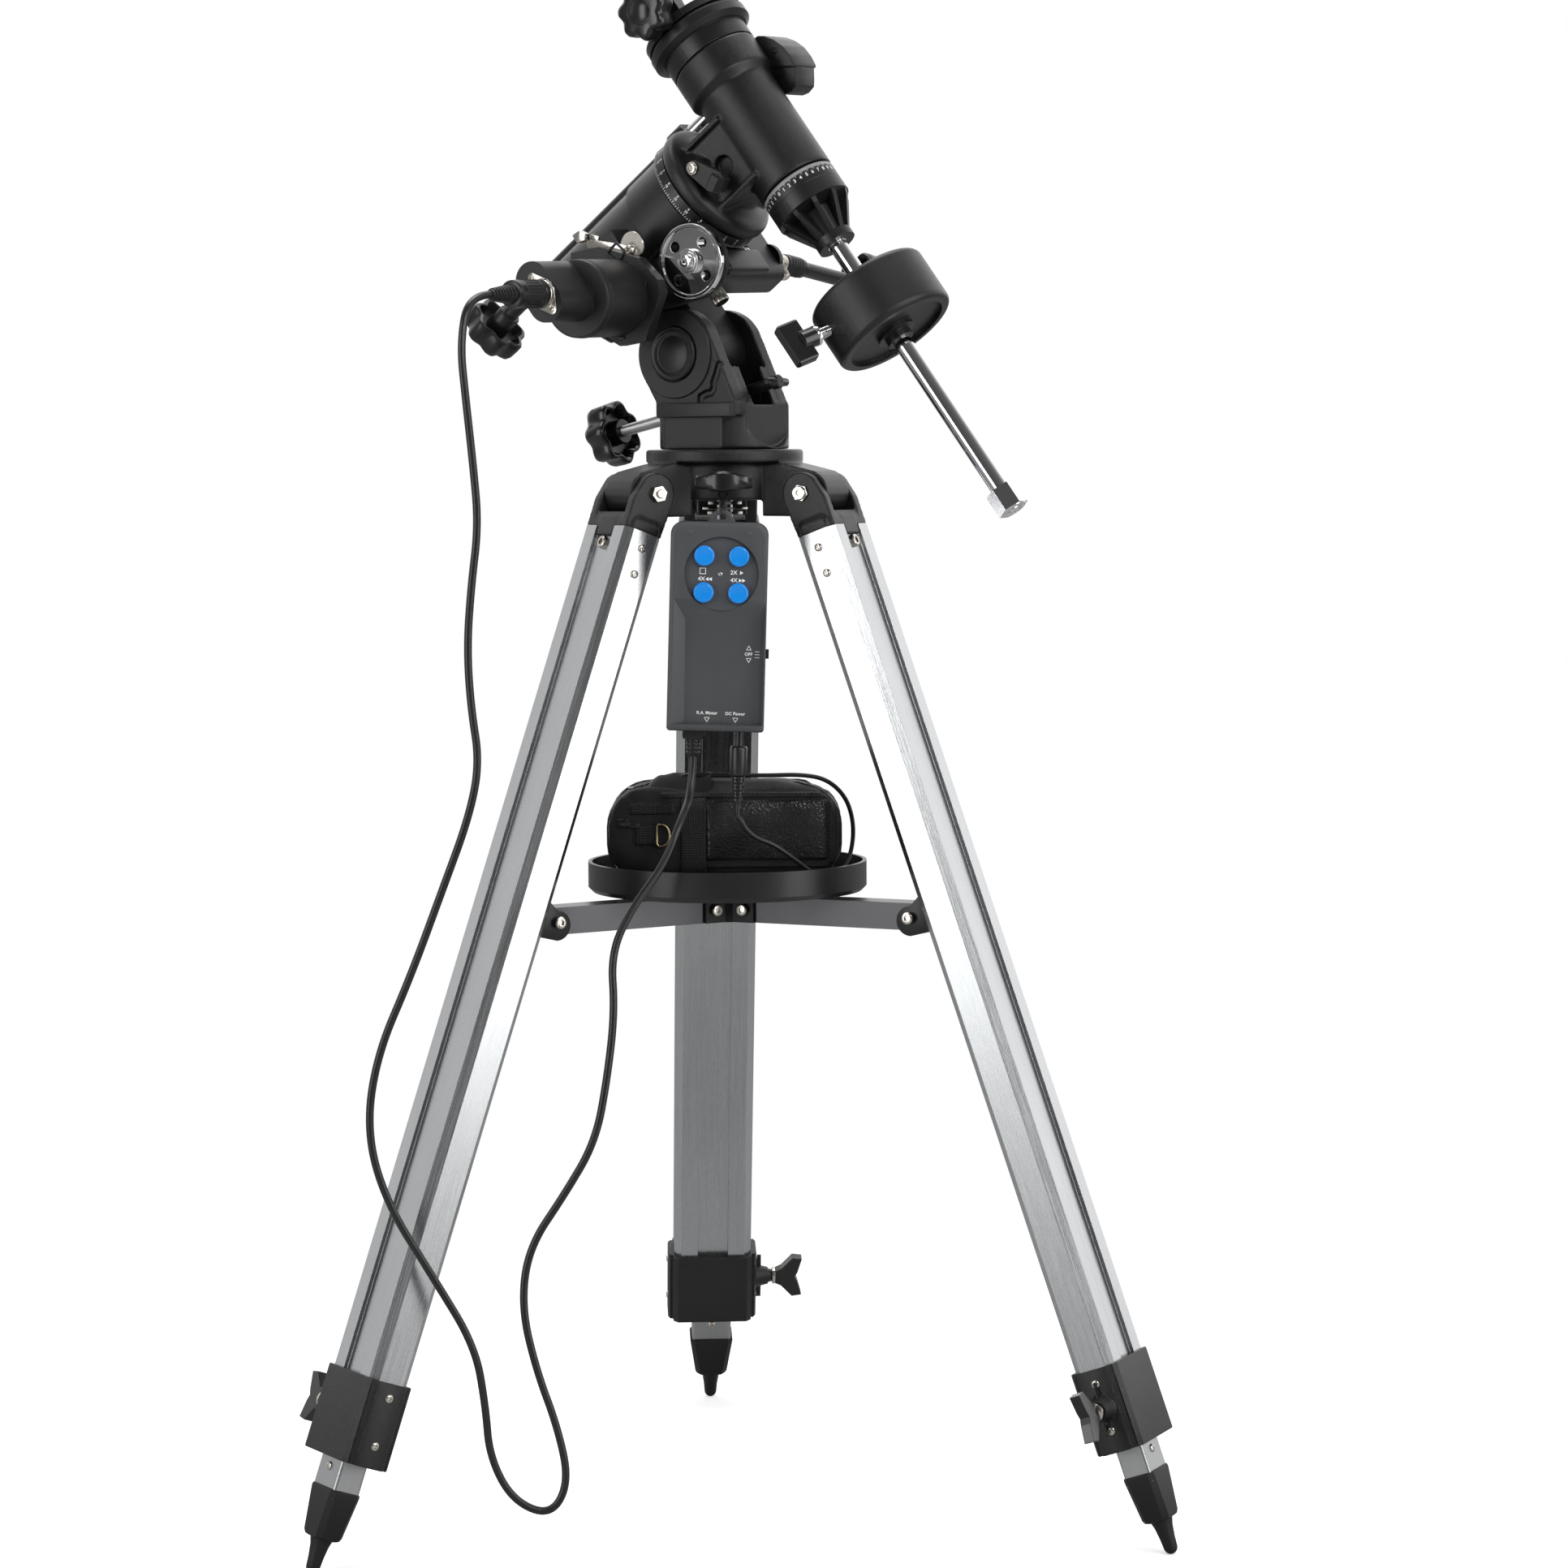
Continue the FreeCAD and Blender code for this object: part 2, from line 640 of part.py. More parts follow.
def spreader_arm(number, place):
    """A channel that is open below; its outer eye is a loose fit on the leg's pin."""
    out = "(pivot_reach+spreader_at*sin(leg_splay)-spreader_in*cos(leg_splay))"
    start, end = "arm_inner-arm_tail", f"{out}+5"
    skin = box("-arm_half", "arm_half", start, end, "-arm_deep/2", "arm_deep/2")
    inside = box("-arm_half+arm_wall", "arm_half-arm_wall", f"{start}-1", f"{end}+1",
                 "-arm_deep/2-1", "arm_deep/2-arm_wall")
    eye = rod("spreader_pin_r+2.4", "-arm_half-1", "arm_half+1", "X", (out, "0"))
    inner = rod("hub_pin_r+0.05", "-arm_half-1", "arm_half+1", "X", ("arm_inner", "0"))
    node(f"spreader_arm_{number}", cut(skin, inside, eye, inner), place)


# ---------------------------------------------------------------- tray and what it carries
def spreader_hub():
    column = rod("6", "arm_height-10", "tray_floor")
    roof = rod("25", "arm_top", "tray_floor")
    pieces = [column, roof]
    for turn in LEG_TURNS:
        ears = []
        for x0, x1 in (("arm_half+0.3", "arm_half+2.6"), ("-arm_half-2.6", "-arm_half-0.3")):
            ears.append(box(x0, x1, "10", "25", "arm_height-arm_deep/2", "tray_floor-0.5"))
        ears.append(rod("hub_pin_r", "-arm_half-5", "arm_half+5", "X", ("arm_inner", "arm_height")))
        pieces.append(moved(fuse(*ears), spin("Z", turn - 90)))
    node("spreader_hub", fuse(*pieces))


def accessory_tray():
    floor = "tray_floor+tray_wall"
    tray = turned([("0", "tray_floor"), ("tray_r-3", "tray_floor"), ("tray_r", "tray_floor+3"),
                   ("tray_r", "tray_rim"), ("tray_r-tray_wall", "tray_rim"), ("tray_r-tray_wall", floor),
                   ("0", floor)])
    node("accessory_tray", tray)


def battery_pouch():
    bag = box("-pouch_left", "pouch_right", "-pouch_half", "pouch_half", "pouch_bottom", "pouch_top")
    bag = rounded(bag, "pouch_round", lambda e: runs_along(e, "Y"))
    node("battery_pouch", bag, spin("Z", "front_turn"))


# ---------------------------------------------------------------- azimuth base and latitude screws
def azimuth_base():
    """A round foot with a fork of two cheeks for the altitude axle."""
    bottom = "hub_top+azimuth_gap"
    drum = rod("base_r", bottom, "base_top")
    back, height = "altitude_back", "altitude_height"
    north_y, north_z = f"-{back}+cheek_r*0.854", f"{height}+cheek_r*0.519"
    cheek = [("-27.4", "base_top-10"), ("34", "base_top-10"), ("34", "base_top"), (north_y, north_z),
             (f"-{back}-cheek_r*0.87", f"{height}-cheek_r*0.49"), ("-27.4", "base_top")]
    sides = []
    for x0, x1 in (("fork_in", "fork_near"), ("-fork_far", "-fork_out")):
        sides.append(plate("YZ", cheek, x0, x1))
        sides.append(rod("cheek_r", x0, x1, "X", (f"-{back}", height)))
    web = plate("YZ", [("24", "base_top-4"), ("34", "base_top-4"), ("34", "base_top"), (north_y, north_z),
                       (f"{north_y}-6", f"{north_z}-6")], "-fork_out-1", "fork_in+1")
    ledge = box("fork_near-5", "fork_near+2", "-24", "26", "base_top-8", "base_top")
    body = fuse(drum, web, ledge, *sides)
    well = box("-fork_out", "fork_in", "-34", "22", "base_top-12", "base_top+60")
    push = frame(shift("0", "-42", "latitude_low"), spin("X", "latitude_slope"), shift("0", "30", "0"))
    body = cut(body, well,
               box("-6", "14", "10", "45", "latitude_high-9", f"{north_z}-7"),
               rod("axle_r+0.03", "-fork_far-5", "fork_near+5", "X", (f"-{back}", height)),
               rod("center_bolt_r+0.2", f"{bottom}-1", "hub_top+17"),
               moved(rod("latitude_rod_r+0.1", "-60", "0", "Y"), push))
    boss = cut(rod("cheek_r-1.4", "fork_near-1", "fork_near+1.5", "X", (f"-{back}", height)),
               rod("axle_cap_r+0.4", "fork_near-0.5", "fork_near+2", "X", (f"-{back}", height)),
               rod("axle_r+0.03", "fork_near-5", "fork_near+5", "X", (f"-{back}", height)))
    node("azimuth_base", fuse(body, boss), AZIMUTH)


def altitude_axle():
    place = ("-altitude_back", "altitude_height")
    shaft = rod("axle_r", "-fork_far-4", "fork_near", "X", place)
    cap = rod("axle_cap_r", "fork_near+0.2", "fork_near+4", "X", place)
    cap = rounded(cap, "1.4", lambda e: ring_at(e, "X", "fork_near+4"))
    neck = rod("axle_r", "fork_near-1", "fork_near+1", "X", place)
    nut = hexagon("10", "-fork_far-7", "-fork_far-0.2", "X", place)
    node("altitude_axle", fuse(shaft, neck, cap, nut), AZIMUTH)


def latitude_screws():
    """The southern screw with its star knob, and the northern one with its T handle."""
    south = frame(shift("0", "-42", "latitude_low"), spin("X", "latitude_slope"))
    shank = rod("latitude_rod_r", "-48", "17", "Y")
    knob = star_knob("-60", "-44", "star_r", "Y")
    node("latitude_screw", fuse(shank, knob), frame(AZIMUTH, south))
    north = frame(shift("0", "20", "latitude_high"), spin("X", "latitude_slope"))
    bolt = rod("latitude_rod_r", "-25.7", "26", "Y")
    handle = rod("4.2", "-15", "15", "X", ("27", "0"))
    bolt = moved(fuse(bolt, handle), shift("4", "0", "0"))
    node("latitude_bolt", bolt, frame(AZIMUTH, north))


# ---------------------------------------------------------------- polar housing and its drive
def polar_housing():
    tube = fuse(rod("housing_r", "housing_step", "housing_top"),
                rod("housing_low_r", "housing_end", "housing_step+1"))
    block = box("-worm_left", "worm_right", "20", "worm_reach+worm_block_half",
                "worm_down-worm_block_half", "worm_down+7")
    block = rounded(block, "7", lambda e: runs_along(e, "X") and e.BoundBox.Center.y > num("worm_reach"))
    nose = rod("11", "-worm_left-1.5", "-worm_left+2", "X", ("worm_reach", "worm_down"))
    left, right = "-fork_out+0.4", "fork_in-0.4"
    bracket = fuse(rod("21", left, right, "X", ("polar_above", "-polar_ahead")),
                   box(left, right, "20", "polar_above", "-polar_ahead-21", "-polar_ahead+21"))
    tongue = moved(box("-8", "8", "-6", "7", "-34", "-10"),
                   frame(shift("0", "polar_above", "-polar_ahead"), spin("X", "90-latitude")))
    bracket = moved(fuse(bracket, tongue), spin("Z", "-polar_roll"))
    axle_hole = moved(rod("axle_r+0.05", "-60", "60", "X", ("polar_above", "-polar_ahead")), spin("Z", "-polar_roll"))
    arm = box("housing_low_r-8", "motor_plate_at-3", "-6", "6", "motor_down+6", "motor_down+18")
    body = cut(fuse(tube, block, nose, bracket, arm),
               rod("polar_shaft_r+0.05", "housing_end-1", "housing_top+1"),
               rod("wheel_r+0.4", "worm_down-wheel_wide/2-0.6", "housing_top+1"),
               rod("worm_r+0.5", "-20", "20", "X", ("worm_reach", "worm_down")),
               rod("worm_shaft_r+0.05", "-worm_left-3", "worm_right+1", "X", ("worm_reach", "worm_down")),
               axle_hole,
               rod("2.1", "worm_reach+8", "worm_reach+worm_block_half+1", "Y", ("clutch_side", "worm_down-6")))
    node("polar_housing", body, POLAR)


def polar_dial():
    ring = turned([("polar_shaft_r+0.3", "housing_top+0.1"), ("dial_r-1.6", "housing_top+0.1"),
                   ("dial_r", "housing_top+1.8"), ("dial_r-0.6", "housing_top+dial_wide-0.1"),
                   ("polar_shaft_r+0.3", "housing_top+dial_wide-0.1")])
    node("polar_dial", ring, POLAR)


def polar_shaft():
    shaft = fuse(rod("polar_shaft_r", "housing_end-2", "flange_low-0.05"),
                 rod("wheel_r", "worm_down-wheel_wide/2", "worm_down+wheel_wide/2"),
                 rod("polar_shaft_r+6", "housing_end-8", "housing_end-0.3"))
    node("polar_shaft", cut(shaft, rod("9", "housing_end-9", "flange_low+1")), POLAR)


def pulley_holes(start, end):
    """Four round holes through the chrome pulley."""
    holes = []
    for i in range(4):
        turn = math.radians(15 + 90 * i)
        holes.append(rod("3.6", start, end, "X",
                         (f"worm_reach+15*{math.cos(turn):.6f}", f"worm_down+15*{math.sin(turn):.6f}")))
    return holes


def worm_drive():
    """The worm on its shaft, and the chrome belt pulley on the shaft's end."""
    axis = ("worm_reach", "worm_down")
    shaft = rod("worm_shaft_r", "-worm_left-3.9", "pulley_at-belt_wide-4", "X", axis)
    thread = rod("worm_r", "-16", "16", "X", axis)
    grooves = []
    for i in range(7):
        x = -13.5 + i * 4.5
        grooves.append(cut(rod("worm_r+1", f"{x - 0.9}", f"{x + 0.9}", "X", axis),
                           rod("worm_r-1.8", f"{x - 1.5}", f"{x + 1.5}", "X", axis)))
    worm = fuse(shaft, cut(thread, *grooves))
    face = rod("pulley_r", "pulley_at-4", "pulley_at", "X", axis)
    face = rounded(face, "0.8", lambda e: ring_at(e, "X", "pulley_at"))
    dish = cut(rod("pulley_r-3", "pulley_at-1.2", "pulley_at+1", "X", axis),
               rod("8", "pulley_at-2", "pulley_at+2", "X", axis))
    pulley = fuse(cut(face, dish), rod("pulley_r-1.5", "pulley_at-belt_wide-4", "pulley_at-3.9", "X", axis),
                  rod("8", "pulley_at-2", "pulley_at+2", "X", axis), rod("5", "pulley_at+1", "pulley_at+3.5", "X", axis))
    pulley = cut(pulley, *pulley_holes("pulley_at-belt_wide-5", "pulley_at+1"))
    node("worm_drive", group(worm, pulley), POLAR)


def belt_outline(extra):
    """The closed line round both pulleys, this far outside their rims."""
    big, small = num("pulley_r-1.5+belt_gap") + extra, num("pulley_small_r+belt_gap") + extra
    far = Vector(num("motor_ahead-worm_reach"), num("motor_down-worm_down"), 0)
    along = math.atan2(far.y, far.x)
    lean = math.acos((big - small) / far.Length)
    start, end = Vector(), far

    def at(centre, radius, angle):
        return centre + Vector(radius * math.cos(angle), radius * math.sin(angle), 0)
    corners = [at(start, big, along + lean), at(start, big, along + math.pi), at(start, big, along - lean),
               at(end, small, along - lean), at(end, small, along), at(end, small, along + lean)]
    edges = [Part.Arc(*corners[0:3]).toShape(), Part.LineSegment(corners[2], corners[3]).toShape(),
             Part.Arc(*corners[3:6]).toShape(), Part.LineSegment(corners[5], corners[0]).toShape()]
    return Part.Face(Part.Wire(edges))


def drive_belt():
    """The belt; its outline is computed from both pulleys, so it is a plain Part feature."""
    ring = belt_outline(num("belt_thick")).cut(belt_outline(0))
    belt = doc.addObject("Part::Feature", "belt")
    belt.Shape = ring.extrude(Vector(0, 0, num("belt_wide-0.6")))
    # a face drawn in XY stands in YZ after this turn, so that it is padded along X
    belt.Placement = Placement(Vector(num("pulley_at-belt_wide-3.7"), num("worm_reach"), num("worm_down")),
                               Rotation(Vector(1, 1, 1), 120))
    node("drive_belt", belt, POLAR)


def clutch_screw():
    """A knurled thumb screw under the worm block."""
    place = frame(POLAR, shift("clutch_side", "worm_reach+worm_block_half", "worm_down-6"), spin("X", "-90"))
    node("clutch_screw", fuse(rod("2", "-6", "4"), rod("5", "1.5", "12")), place)


def motor():
    axis = ("motor_ahead", "motor_down")
    near = "motor_plate_at"
    can = rod("motor_r", f"{near}+motor_plate_thick-1", "motor_end", "X", axis)
    can = rounded(can, "1.2", lambda e: ring_at(e, "X", "motor_end"))
    corners = ((-45, -10), (-34, 10), (-9, 30), (11, 33), (19, 30), (35.5, 0.7), (26, -17), (11, -24), (-24, -26))
    gearbox = plate("YZ", [(f"motor_ahead+({y})", f"motor_down+({z})") for y, z in corners],
                    near, f"{near}+motor_plate_thick")
    stadium = fuse(box("motor_end-1", "socket_end", "motor_ahead-14", "motor_ahead+2",
                       "motor_down-13", "motor_down+13"),
                   rod("13", "motor_end-1", "socket_end", "X", ("motor_ahead-14", "motor_down")),
                   rod("13", "motor_end-1", "socket_end", "X", ("motor_ahead+2", "motor_down")))
    shaft_hole = rod("3.1", f"{near}-1", f"{near}+6", "X", axis)
    node("motor_case", cut(fuse(can, gearbox, stadium), shaft_hole), POLAR)
    small = fuse(rod("pulley_small_r", "pulley_at-belt_wide-4", "pulley_at-4", "X", axis),
                 rod("pulley_small_r+3", "pulley_at-4", "pulley_at-2.5", "X", axis),
                 rod("3", "pulley_at-3", f"{near}+5", "X", axis))
    node("motor_pulley", small, POLAR)
    back = f"{near}-3"
    strap = plate("YZ", [("7", "-99"), ("-6", "-103"), ("-21", "-123"), ("-23", "-138"), ("-15", "-144"),
                         ("-8", "-136"), ("8", "-116"), ("20", "-102")], back, near)
    disc = rod("10.5", back, near, "X", ("11", "-99"))
    screws = [rod("3.4", f"{near}-1", f"{near}+2.6", "X", place) for place in (("11", "-96.5"), ("-16", "-133"))]
    node("motor_bracket", fuse(strap, disc, *screws), POLAR)


def flexible_control():
    """The flexible shaft that turns the worm by hand, along its own drooping axis."""
    ferrule = fuse(rod("8", "1.2", "3"), rod("5.5", "2", "12"), rod("6.5", "12", "30"))
    shaft = rod("5", "29", "control_end-14")
    screw = rod("2.5", "2", "11", "Y", ("0", "7"))
    knob = star_knob("control_end-16", "control_end")
    node("polar_control", fuse(ferrule, shaft, screw, knob), CONTROL)


# ---------------------------------------------------------------- declination head
def declination_housing():
    """The T-shaped casting: flange on the polar shaft, barrel across it, worm block."""
    flange = rod("flange_r", "flange_low", "flange_top")
    flange = rounded(flange, "5.5", lambda e: isinstance(e.Curve, Part.Circle))
    neck = box("-24", "24", "-36", "34", "flange_top-2", "-8")
    neck = rounded(neck, "3", lambda e: runs_along(e, "Z"))
    rails = [box("23", "27", y0, y1, "flange_top-6", "-11") for y0, y1 in (("-36", "-32.5"), ("28", "31.5"))]
    barrel = rod("barrel_r", "sleeve_low-1", "barrel_low", "Y")
    sleeve = fuse(rod("sleeve_r", "sleeve_top", "sleeve_low", "Y"),
                  cone("sleeve_r", "barrel_r", "sleeve_low", "sleeve_low+4", "Y"))
    block = plate("YZ", [("dec_worm_up-10.3", "-27"), ("dec_worm_up-10.3", "17"), ("dec_worm_up+17", "30"),
                         ("dec_worm_up+27", "19"), ("dec_worm_up+27", "-10"), ("dec_worm_up+15", "-27")],
                  "dec_worm_side-13", "dec_worm_side+14")
    recess = rod("6", "20", "25", "X", ("6", "-27"))
    lever_at = ("lever_side", "lever_up")
    seat = rod("5.5", "20", "lever_seat", "X", lever_at)
    clear = rod("6.2", "lever_seat", "flange_r+5", "X", lever_at)
    flange = cut(flange, clear)
    body = cut(fuse(flange, neck, barrel, sleeve, block, seat, *rails),
               rod("rotor_r+rotor_gap", "sleeve_top-1", "barrel_low+1", "Y"),
               rod("polar_shaft_r-4", "flange_low-1", "-30"), recess,
               rod("dec_rod_r+0.05", "-28", "14", "Z", ("dec_worm_side", "dec_worm_up")))
    node("declination_housing", body, POLAR)


def clutch_lever():
    """A teardrop lever: a round eye on its screw and a thick, chamfered finger end."""
    eye = rod("5", "0", "lever_thick", "X")
    blade = plate("YZ", [("-1", "-5"), ("lever_long-8", "-7.5"), ("lever_long", "-4.5"), ("lever_long", "5"),
                         ("lever_long-5", "7.5"), ("-1", "5")], "0", "lever_thick")
    tip = plate("XY", [("lever_thick-0.5", "lever_long-11"), ("lever_thick+5", "lever_long-7"),
                       ("lever_thick+5", "lever_long-1.5"), ("lever_thick-0.5", "lever_long")], "-5", "4.5")
    washer = rod("3.6", "lever_thick-0.5", "lever_thick+1.6", "X")
    node("clutch_lever", fuse(eye, blade, tip, washer),
         frame(POLAR, shift("lever_seat+0.1", "lever_side", "lever_up"), spin("X", "lever_turn")))


def declination_shaft():
    """The turning shaft in the barrel with the wide head that carries the saddle."""
    shaft = turned([("0", "lip_top"), ("lip_r-3", "lip_top"), ("lip_r", "lip_top+3"), ("lip_r", "lip_low-3"),
                    ("lip_r-4", "lip_low"), ("sleeve_r", "lip_low"), ("sleeve_r", "head_low"),
                    ("rotor_r", "head_low"), ("rotor_r", "barrel_low+0.2"), ("11", "barrel_low+0.2"),
                    ("11", "dec_dial_end+8"), ("0", "dec_dial_end+8")])
    node("declination_shaft", shaft, DECLINATION)


def declination_control():
    """The worm shaft and its long control rod, parallel to the polar axis."""
    side = ("dec_worm_side", "dec_worm_up")
    stub = rod("dec_rod_r", "-52", "12", "Z", side)
    collar = rod("7.5", "-66", "-46", "Z", side)
    long_rod = rod("5.5", "dec_knob_at", "-60", "Z", side)
    hub = rod("8", "dec_knob_at-2", "dec_knob_at+10", "Z", side)
    knob = star_knob("dec_knob_at-17", "dec_knob_at", "star_r", "Z", side)
    node("declination_control", fuse(stub, collar, long_rod, hub, knob), POLAR)


def declination_dial():
    start = "barrel_low+0.3"
    ring = turned([("11.05", start), ("dec_dial_r-1.2", start), ("dec_dial_r", f"{start}+1.2"),
                   ("dec_dial_r", "dec_dial_end"), ("11.05", "dec_dial_end")])
    node("declination_dial", ring, DECLINATION)


def counterweight_bar():
    """The ribbed cone that screws on the shaft and holds the counterweight bar."""
    top = "dec_dial_end+0.1"
    waist = "cone_end-6"
    core = turned([("11", top), ("dec_dial_r", top), ("dec_dial_r", f"{top}+10"), ("cone_small_r+1", f"{top}+14"),
                   ("cone_small_r-2", waist), ("cone_small_r", waist), ("cone_small_r", "cone_end"),
                   ("bar_r", "cone_end"), ("bar_r", "dec_dial_end+8.1"), ("11", "dec_dial_end+8.1")])
    ribs = []
    for i in range(10):
        rib = plate("XZ", [("10", f"{top}+9"), ("dec_dial_r-0.5", f"{top}+9"), ("dec_dial_r-2", f"{top}+14"),
                           ("cone_small_r", waist), ("10", waist)], "-1.6", "1.6")
        ribs.append(moved(rib, spin("Z", i * 36)))
    collar = cut(fuse(*ribs), rod("bar_r+2", "0", "cone_end+1"))
    bar = rod("bar_r", "dec_dial_end+8.2", "bar_end")
    node("counterweight_bar", group(fuse(core, collar), bar), DECLINATION)


def counterweight():
    toe = cut(hexagon("toe_r", "toe_from", "bar_end+4.5"), rod("bar_r", "toe_from-1", "bar_end"))
    node("toe_nut", toe, DECLINATION)
    iron = rod("weight_r", "weight_top", "weight_end")
    iron = rounded(iron, "4", lambda e: isinstance(e.Curve, Part.Circle))
    dish = cut(rod("weight_r-7", "weight_end-3", "weight_end+1"), rod("13", "weight_end-4", "weight_end+2"))
    sleeve = rod("9", "weight_end-1", "weight_end+5")
    bore = rod("bar_r+0.1", "weight_top-1", "weight_end+6")
    hole = moved(rod("3.6", "0", "weight_r+5", "X", ("0", "weight_top+19")), spin("Z", "weight_screw_turn"))
    node("counterweight", cut(fuse(cut(iron, dish), sleeve), bore, hole), DECLINATION)
    screw_axis = ("0", "weight_top+19")
    shank = rod("3.5", "bar_r+0.3", "weight_r+14", "X", screw_axis)
    boss = rod("6.5", "weight_r+10", "weight_r+22", "X", screw_axis)
    wings = wing("weight_r+18", "weight_r+33", "15", "7", "X", screw_axis)
    node("counterweight_screw", fuse(shank, boss, wings), frame(DECLINATION, spin("Z", "weight_screw_turn")))


def saddle():
    """A dovetail seat: a fixed jaw, and a rounded jaw that carries the clamp knob."""
    base = rod("lip_r-1", "lip_top-5", "lip_top-0.05")
    seat = "lip_top-5"
    top = f"{seat}-jaw_height"
    fixed = plate("XZ", [("-jaw_gap", seat), ("-jaw_gap+3", top), ("-jaw_gap-jaw_wall", top),
                         ("-jaw_gap-jaw_wall", f"{seat}+4"), ("-jaw_gap", f"{seat}+4")],
                  "-saddle_length/2", "saddle_length/2")
    clamp = plate("XZ", [("jaw_gap", seat), ("jaw_gap-3", top), ("jaw_gap+jaw_wall", top),
                         ("jaw_gap+jaw_wall", f"{seat}+4"), ("jaw_gap", f"{seat}+4")], "-15", "15")
    cap = rod("13", "jaw_gap-1", "jaw_gap+jaw_wall", "X", ("0", f"{seat}-9"))
    cap = cut(cap, box("jaw_gap-5", "jaw_gap+0.01", "-20", "20", f"{seat}-40", f"{seat}+10"))
    screw_hole = rod("3.05", "jaw_gap-5", "jaw_gap+jaw_wall+1", "X", ("0", f"{seat}-9"))
    node("dovetail_saddle", cut(fuse(base, fixed, clamp, cap), screw_hole), DECLINATION)
    axis = ("0", f"{seat}-9")
    shank = rod("3", "jaw_gap-1", "jaw_gap+jaw_wall+10", "X", axis)
    hub = rod("8", "jaw_gap+jaw_wall+1", "jaw_gap+jaw_wall+8", "X", axis)
    knob = star_knob("jaw_gap+jaw_wall+6", "jaw_gap+jaw_wall+20", "19", "X", axis)
    node("saddle_knob", fuse(shank, hub, knob), DECLINATION)


# ---------------------------------------------------------------- hand controller
BUTTONS = (("button_stop", "-button_side", "-button_high"), ("button_fast", "button_side", "-button_high"),
           ("button_back", "-button_side", "-button_low"), ("button_ahead", "button_side", "-button_low"))


def hanging_loop():
    """The thin cord that hangs the controller on the neck of the azimuth lock screw."""
    front = spin("Z", "front_turn")
    around = num("loop_neck_r+loop_d/2") + 0.7
    neck_y, neck_z = num("-hub_ring_r-3.5"), num("screw_height")
    knot = HAND.multVec(Vector(0, 1.5, num("slot_high")+8.6))
    upper = [knot]
    for turn in (195, 150, 110, 70, 30, -15):
        angle = math.radians(turn)
        upper.append(front.multVec(Vector(around * math.cos(angle), neck_y, neck_z + around * math.sin(angle))))
    middle = num("slot_high") + 1.2
    lower = [HAND.multVec(Vector(0, y, z)) for y, z in
             ((1.5, middle + 7.4), (-5.4, middle + 5.6), (-5.6, middle + 2.2), (-4.6, middle),
              (4.6, middle), (5.6, middle + 2.2), (5.4, middle + 5.6), (1.9, middle + 7.6))]
    ball_r = 1.5
    strands = []
    for name, route in (("upper_loop", upper + [knot]), ("lower_loop", lower)):
        first = knot + (route[1] - knot).normalize() * ball_r
        last = knot + (route[-2] - knot).normalize() * ball_r
        strands.append(cord(name, "loop_d", [first] + route[1:-1] + [last]))
    loop = doc.addObject("Part::Feature", "loop")
    loop.Shape = Part.makeCompound([Part.makeSphere(ball_r, knot, Vector(1, 0, 0), -80, 80, 360)] + strands)
    return loop


def hand_controller():
    half, thick = "controller_half", "controller_thick/2"
    case = box(f"-{half}", half, f"-{thick}", thick, "-controller_tall", "0")
    case = rounded(case, "9", lambda e: runs_along(e, "Y"))
    panel = box(f"-{half}+2", f"{half}-2", f"-{thick}-3", f"-{thick}+1", "-controller_tall+4", "-64")
    lug = plate("XZ", [("-12", "-2"), ("12", "-2"), ("10", "0"), ("5.5", "5"), ("3", "7.5"), ("-3", "7.5"),
                       ("-5.5", "5"), ("-10", "0")], "-4", "4")
    lug = cut(lug, box("-3.8", "3.8", "-5", "5", "slot_high", "slot_high+2.4"))
    well = rod("24.5", f"-{thick}-1", f"-{thick}+1.6", "Y", ("0", "-34.8"))
    sockets = [rod("button_r+button_gap", f"-{thick}-1", f"-{thick}+8", "Y", (x, z)) for _, x, z in BUTTONS]
    notch = box(f"{half}-3", f"{half}+1", "-4", "4", "-96", "-78")
    gland = rod("4.6", "-controller_tall-14", "-controller_tall+1", "Z", ("gland_side", "0"))
    jack = rod("2.8", "-controller_tall-1", "-controller_tall+6", "Z", ("jack_side", "0"))
    body = cut(fuse(case, panel, lug, gland), well, notch, jack, *sockets)
    node("controller_case", group(moved(body, HAND), hanging_loop()))
    for name, x, z in BUTTONS:
        cap = rod("button_r", f"-{thick}-2.5", f"-{thick}+5", "Y", (x, z))
        cap = rounded(cap, "1.2", lambda e: ring_at(e, "Y", f"-{thick}-2.5"))
        node(name, cap, HAND)
    slider = box(f"{half}-2.9", f"{half}+2", "-3", "3", "-87", "-81")
    node("power_switch", slider, HAND)


# ---------------------------------------------------------------- cords
def tube_path(points):
    """Straight runs joined by tangent arcs, as one wire; also the smallest radius."""
    points = [Vector(*p) for p in points]
    lengths = [(b - a).Length for a, b in zip(points, points[1:])]
    edges, here, radii = [], points[0], []
    for i in range(1, len(points) - 1):
        before = (points[i] - points[i - 1]).normalize()
        after = (points[i + 1] - points[i]).normalize()
        turn = before.getAngle(after)
        back = 0.45 * min(lengths[i - 1], lengths[i])
        radii.append(back / math.tan(turn / 2))
        start, end = points[i] - before * back, points[i] + after * back
        out = (after - before).normalize()
        centre = points[i] + out * (back / math.sin(turn / 2) * 1.0)
        middle = centre - out * radii[-1]
        edges.append(Part.LineSegment(here, start).toShape())
        edges.append(Part.Arc(start, middle, end).toShape())
        here = end
    edges.append(Part.LineSegment(here, points[-1]).toShape())
    return Part.Wire(edges), radii


